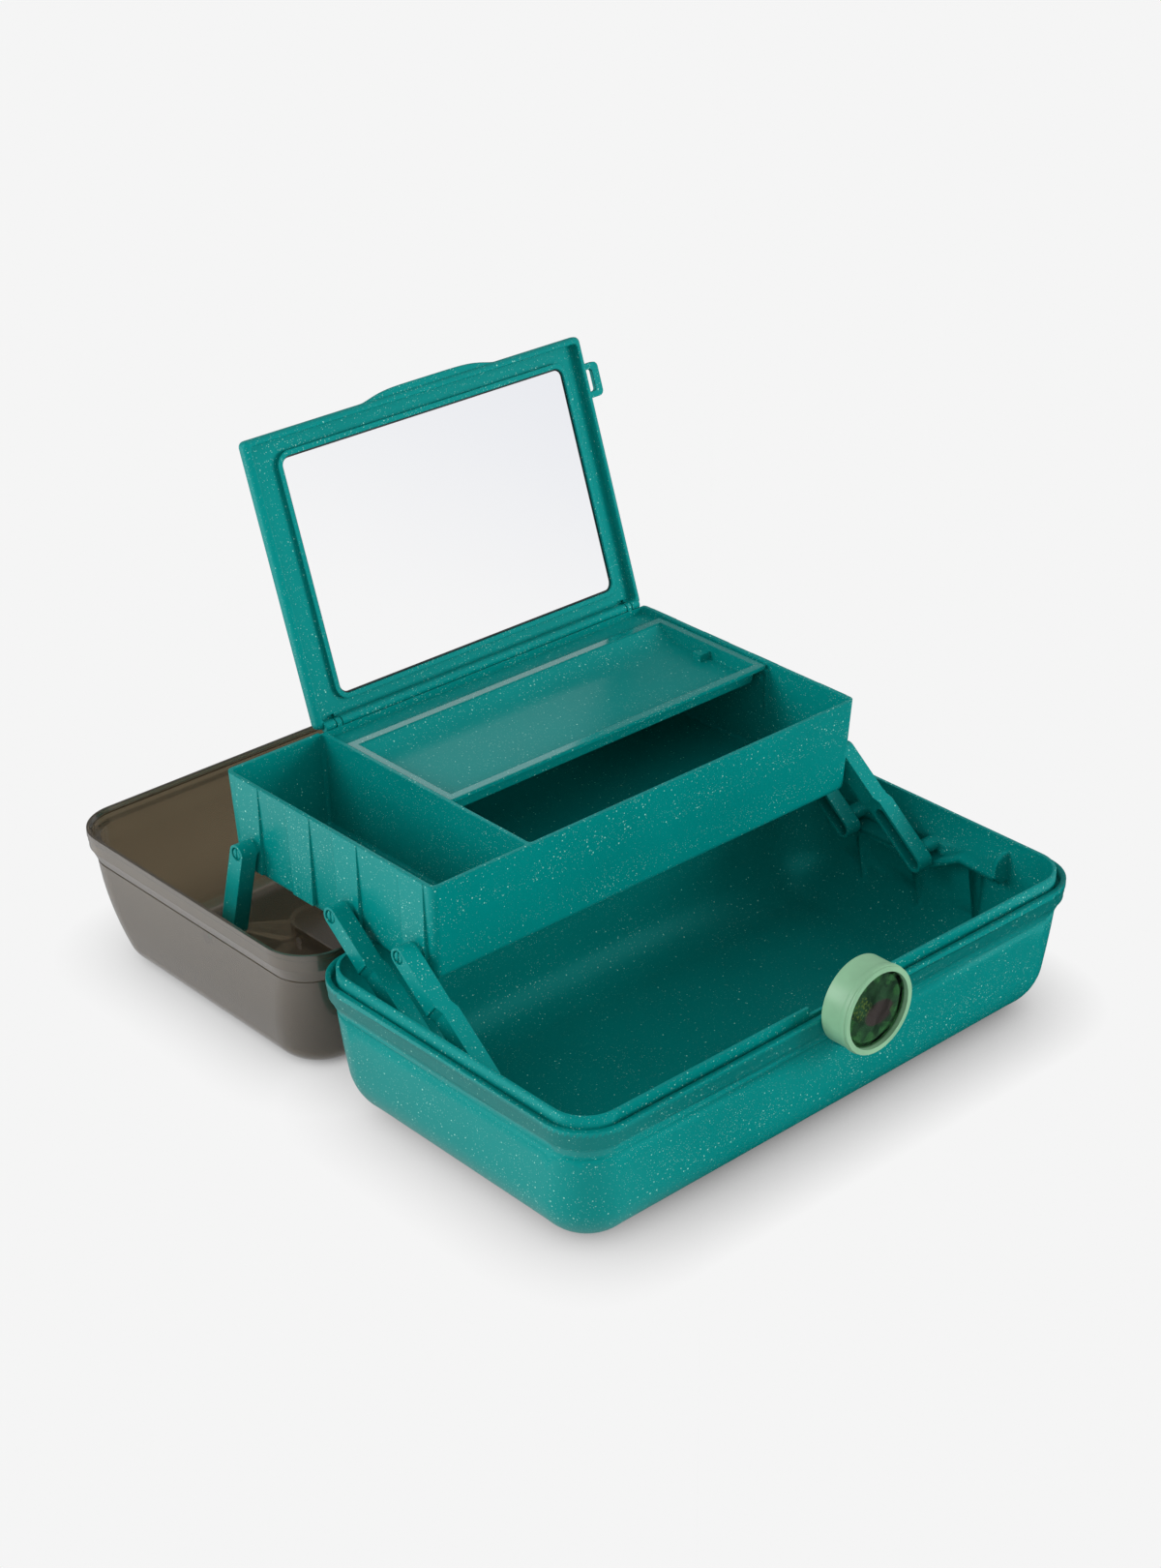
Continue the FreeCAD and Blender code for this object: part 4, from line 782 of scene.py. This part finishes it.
@dataclass
class InnerTrayTrim:
    """The polished flat rim of the sliding inner tray."""

    maker: Maker
    rim_width: float = 4.6 * MM
    inset: float = 0.35 * MM
    proud: float = 0.05 * MM
    sunk: float = 0.3 * MM
    corner: float = 1.6 * MM
    inner_corner: float = 0.3 * MM

    def build(self) -> None:
        """Lays a ring of four round-cornered loops on the rim."""
        points = points_of("insert_tray")
        top = points[points[:, 2] > points[:, 2].max() - 0.01 * MM]
        low, high = top.min(0), top.max(0)
        section = ((self.inset, -self.sunk), (self.inset, self.proud),
                   (self.rim_width, self.proud), (self.rim_width, -self.sunk))
        loops = [raised(rounded_loop(low[:2] + inset, high[:2] - inset,
                                     max(self.corner - inset, self.inner_corner)),
                        high[2] + height) for inset, height in section]
        self.maker.piece("inner_tray_rim", np.concatenate(loops),
                         band_faces(len(loops), len(loops[0]), looped=True), Body.INSERT,
                         POLISHED_GREEN, "green_plastic")


@dataclass
class LidTrim:
    """Two hairline beads that run round the outside of the lid's rim, near black as painted shade
    of two grooves.
    """

    maker: Maker
    corner: float = 24.0 * MM
    half_depth: float = 94.0 * MM
    heights: tuple = (71.5 * MM, 69.2 * MM)
    radius: float = 0.32 * MM
    sunk: float = 0.15 * MM
    round_points: int = 8

    def build(self) -> None:
        """Carries a small eight-sided section round the lid's outline, once for each bead."""
        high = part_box("lid_shell")[1]
        half = np.array((high.x, self.half_depth))
        centre = np.array((0.0, high.y - self.half_depth))
        turn = np.linspace(0.0, 2 * math.pi, self.round_points, endpoint=False)
        points, faces = [], []
        for height in self.heights:
            loops = []
            for angle in turn:
                inset = self.sunk + self.radius * (1.0 - math.cos(angle))
                loop = rounded_loop(centre - half + inset, centre + half - inset,
                                    self.corner - inset, FINE_CORNER_STEPS)
                loops.append(raised(loop, height + self.radius * math.sin(angle)))
            faces += shifted(band_faces(len(loops), len(loops[0]), looped=True),
                             len(points) * len(loops[0]))
            points += loops
        self.maker.piece("lid_rim_beads", np.concatenate(points), faces, Body.LID,
                         GROOVE_SHADE_SMOKE, "smoke_plastic", 60.0)


@dataclass
class GroovedBase:
    """The base as moulded: a groove runs round its rim at the foot of the inner lip."""

    maker: Maker
    plan_corner: float = 24.0 * MM
    half_depth: float = 94.0 * MM
    groove_out: float = 2.5 * MM
    groove_in: float = 4.95 * MM
    rim_height: float = 72.0 * MM
    groove_deep: float = 5.2 * MM
    headroom: float = 6.0 * MM
    weld: float = 0.001 * MM

    def ring(self) -> bpy.types.Object:
        """Returns the ring that is cut away."""
        half = np.array((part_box("base_shell")[1].x, self.half_depth))
        section = ((self.groove_out, -self.groove_deep), (self.groove_out, self.headroom),
                   (self.groove_in, self.headroom), (self.groove_in, -self.groove_deep))
        loops = [raised(rounded_loop(inset - half, half - inset, self.plan_corner - inset,
                                     FINE_CORNER_STEPS), self.rim_height + height)
                 for inset, height in section]
        mesh = bpy.data.meshes.new("groove")
        mesh.from_pydata(np.concatenate(loops).tolist(), [],
                         band_faces(len(loops), len(loops[0]), looped=True))
        ring = bpy.data.objects.new("groove", mesh)
        bpy.context.scene.collection.objects.link(ring)
        return ring

    def build(self) -> None:
        """Makes the grooved shell in the CAD shell's place."""
        source = bmesh.new()
        source.from_mesh(frame["nodes"]["base_shell"].data)
        bmesh.ops.remove_doubles(source, verts=source.verts, dist=self.weld)
        mesh = bpy.data.meshes.new("base_plain")
        source.to_mesh(mesh)
        source.free()
        blank = bpy.data.objects.new("base_plain", mesh)
        bpy.context.scene.collection.objects.link(blank)
        ring = self.ring()
        groove = blank.modifiers.new("groove", "BOOLEAN")
        groove.operation, groove.solver, groove.object = "DIFFERENCE", "EXACT", ring
        graph = bpy.context.evaluated_depsgraph_get()
        cut = bpy.data.meshes.new_from_object(blank.evaluated_get(graph))
        for spent in (blank, ring):
            bpy.data.objects.remove(spent)
        made = self.maker.finish_piece("base_shell_grooved", cut, Body.BASE, GREEN,
                                       "green_plastic", 28.0)
        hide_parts("base_shell")


@dataclass
class Studio:
    """Pale floor, soft lights and the camera."""

    azimuth: float = -42.29
    elevation: float = 28.31
    roll: float = -0.35
    eye: tuple = (-0.8483, -0.8459, 0.7908)
    lens: float = 68.22
    floor_half: float = 8.0
    floor_tone: float = 0.913
    shadow_reach: float = 0.040
    shadow_depth: float = 0.70
    shadow_left: float = 0.28
    mirrored_tone: float = 0.945
    left_tone: float = 1.25
    far_side: tuple = (0.6, 1.6)
    left_side: tuple = (-0.05, -0.30)
    lee_side: tuple = (-0.20, -0.06)
    room: float = 0.44
    behind: float = 0.20
    room_turn: tuple = (0.25, -0.35)

    def camera(self) -> None:
        """Sets the camera: its back axis from azimuth and elevation, then its roll."""
        turn, lift, roll = (math.radians(v) for v in (self.azimuth, self.elevation, self.roll))
        back = Vector((math.sin(turn) * math.cos(lift), -math.cos(turn) * math.cos(lift),
                       math.sin(lift)))
        right = Vector((math.cos(turn), math.sin(turn), 0.0))
        up = back.cross(right)
        rolled = right * math.cos(roll) + up * math.sin(roll)
        raised = up * math.cos(roll) - right * math.sin(roll)
        data = bpy.data.cameras.new("camera")
        data.lens, data.sensor_width, data.sensor_fit = self.lens, 36.0, "AUTO"
        data.clip_start, data.clip_end = 0.05, 50.0
        camera = bpy.data.objects.new("camera", data)
        bpy.context.scene.collection.objects.link(camera)
        axes = Matrix((rolled, raised, back)).transposed().to_4x4()
        camera.matrix_world = Matrix.Translation(Vector(self.eye)) @ axes
        bpy.context.scene.camera = camera

    def floor(self) -> None:
        """Lays the pale floor: even glowing paper, with a painted contact shadow where the case
        stands on it, lighter towards the left.
        """
        half = self.floor_half
        mesh = bpy.data.meshes.new("floor")
        mesh.from_pydata([(-half, -half, 0), (half, -half, 0), (half, half, 0), (-half, half, 0)],
                         [], [(0, 1, 2, 3)])
        floor = bpy.data.objects.new("floor", mesh)
        bpy.context.scene.collection.objects.link(floor)
        graph = Graph("floor_paper")
        grain = graph.math("MULTIPLY_ADD", graph.noise(300.0), 0.004, self.floor_tone - 0.002)
        graph.set(Base_Color=grain, Roughness=1.0, Specular_IOR_Level=0.0)
        glow = graph.node("ShaderNodeEmission")
        graph.plug(glow.inputs["Color"], grain)
        path = graph.node("ShaderNodeLightPath")
        contact = graph.node("ShaderNodeAmbientOcclusion", samples=24)
        contact.inputs["Distance"].default_value = self.shadow_reach
        split = graph.node("ShaderNodeSeparateXYZ")
        graph.plug(split.inputs[0], graph.place)
        # Painted shadow: the floor's glow is darkened by an occlusion lookup, less deeply towards
        # the left.
        lee = graph.math("MULTIPLY_ADD", graph.ramp(split.outputs[0], *self.lee_side),
                         self.shadow_depth - self.shadow_left, self.shadow_left)
        shade = graph.math("POWER", contact.outputs["AO"], lee)
        far = graph.ramp(graph.math("MULTIPLY", split.outputs[1], -1.0), *self.far_side)
        left = graph.ramp(split.outputs[0], *self.left_side)
        sheen = graph.math("MAXIMUM", graph.math("MULTIPLY", far, self.mirrored_tone),
                           graph.math("MULTIPLY", left, self.left_tone))
        seen = graph.math("MAXIMUM", path.outputs["Is Camera Ray"],
                          path.outputs["Is Transmission Ray"])
        mirrored = graph.math("SUBTRACT", path.outputs["Is Glossy Ray"],
                              path.outputs["Is Transmission Ray"], clamp=True)
        graph.plug(glow.inputs["Strength"], graph.math(
            "ADD", graph.math("MULTIPLY", seen, shade),
            graph.math("MULTIPLY", mirrored, graph.math("DIVIDE", sheen, self.floor_tone))))
        mix = graph.node("ShaderNodeMixShader")
        graph.plug(mix.inputs[0], graph.math("MAXIMUM", seen, mirrored))
        graph.plug(mix.inputs[1], graph.shader.outputs[0])
        graph.plug(mix.inputs[2], glow.outputs[0])
        graph.plug(graph.tree.nodes["Material Output"].inputs["Surface"], mix.outputs[0])
        mesh.materials.append(graph.material)

    def lamp(self, name: str, spot: tuple, aim: tuple, size: float, power: float,
             mirrored: bool = False) -> None:
        """Hangs a square soft light.

        Args:
            name: the light's name.
            spot: where it hangs, in metres.
            aim: the point that it faces.
            size: its side, in metres.
            power: its power, in watts.
            mirrored: whether glossy surfaces show it.
        """
        data = bpy.data.lights.new(name, "AREA")
        data.shape, data.size, data.energy = "SQUARE", size, power
        lamp = bpy.data.objects.new(name, data)
        bpy.context.scene.collection.objects.link(lamp)
        lamp.location = spot
        lamp.visible_glossy = mirrored
        lamp.rotation_euler = (Vector(aim) - Vector(spot)).to_track_quat("-Z", "Y").to_euler()

    def world(self) -> None:
        """Lights the room evenly, and shows white to the camera and in reflections."""
        world = bpy.data.worlds.new("room")
        bpy.context.scene.world = world
        world.use_nodes = True
        tree = world.node_tree
        back = tree.nodes["Background"]
        back.inputs["Color"].default_value = rgba(1.0, 1.0, 1.0)
        tree.links.new(self._room_level(tree), back.inputs["Strength"])

    def _room_level(self, tree: bpy.types.NodeTree) -> bpy.types.NodeSocket:
        """How bright each direction is: even for diffuse light, dim behind the case in gloss.

        Args:
            tree: the world's node tree.

        Returns:
            The strength.
        """
        def math_node(operation: str, *values: object) -> bpy.types.NodeSocket:
            made = tree.nodes.new("ShaderNodeMath")
            made.operation = operation
            for slot, value in zip(made.inputs, values):
                if isinstance(value, bpy.types.NodeSocket):
                    tree.links.new(value, slot)
                else:
                    slot.default_value = value
            return made.outputs[0]

        path = tree.nodes.new("ShaderNodeLightPath")
        place = tree.nodes.new("ShaderNodeTexCoord")
        split = tree.nodes.new("ShaderNodeSeparateXYZ")
        tree.links.new(place.outputs["Generated"], split.inputs[0])
        ahead = tree.nodes.new("ShaderNodeMapRange")
        ahead.inputs["From Min"].default_value = self.room_turn[0]
        ahead.inputs["From Max"].default_value = self.room_turn[1]
        ahead.inputs["To Min"].default_value = self.behind
        ahead.inputs["To Max"].default_value = self.mirrored_tone
        tree.links.new(split.outputs[1], ahead.inputs["Value"])
        through = path.outputs["Is Transmission Ray"]
        mirrored = math_node("MAXIMUM", math_node("SUBTRACT", path.outputs["Is Glossy Ray"],
                                                  through), 0.0)
        gloss = math_node("MULTIPLY", mirrored,
                          math_node("SUBTRACT", ahead.outputs["Result"], self.room))
        seen = math_node("MULTIPLY", math_node("MAXIMUM", path.outputs["Is Camera Ray"], through),
                         self.floor_tone - self.room)
        return math_node("ADD", math_node("ADD", gloss, seen), self.room)

    def build(self) -> None:
        """Makes the whole studio."""
        self.camera()
        self.floor()
        self.world()
        self.lamp("left", (-2.1, 1.05, 1.2), (0.0, 0.05, 0.05), 1.4, 25.0, mirrored=True)
        self.lamp("front", (1.6, -1.8, 0.6), (0.0, 0.0, 0.05), 1.2, 27.0)
        bpy.context.scene.view_settings.view_transform = "Standard"


def main() -> None:
    """Builds the studio and the case."""
    logging.basicConfig(level=logging.INFO, format="%(name)s: %(message)s")
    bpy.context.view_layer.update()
    Studio().build()
    dresser = Dresser()
    slots = {entry["node"]: entry["material_slot"] for entry in frame["record"]["subparts"]}
    for node, slot in sorted(slots.items()):
        dresser.dress(node, FINISHES[slot])
    maker = Maker(dresser)
    MirrorTrim(maker).build()
    studs = Studs(maker)
    for node, body in (("front_studs", Body.TRAY), ("middle_studs", Body.TRAY),
                       ("rear_studs", Body.REAR_ARMS)):
        studs.build(node, body)
    LatchTrim(maker).build()
    InnerTrayTrim(maker).build()
    LidTrim(maker).build()
    GroovedBase(maker).build()


if __name__ == "__main__":
    main()
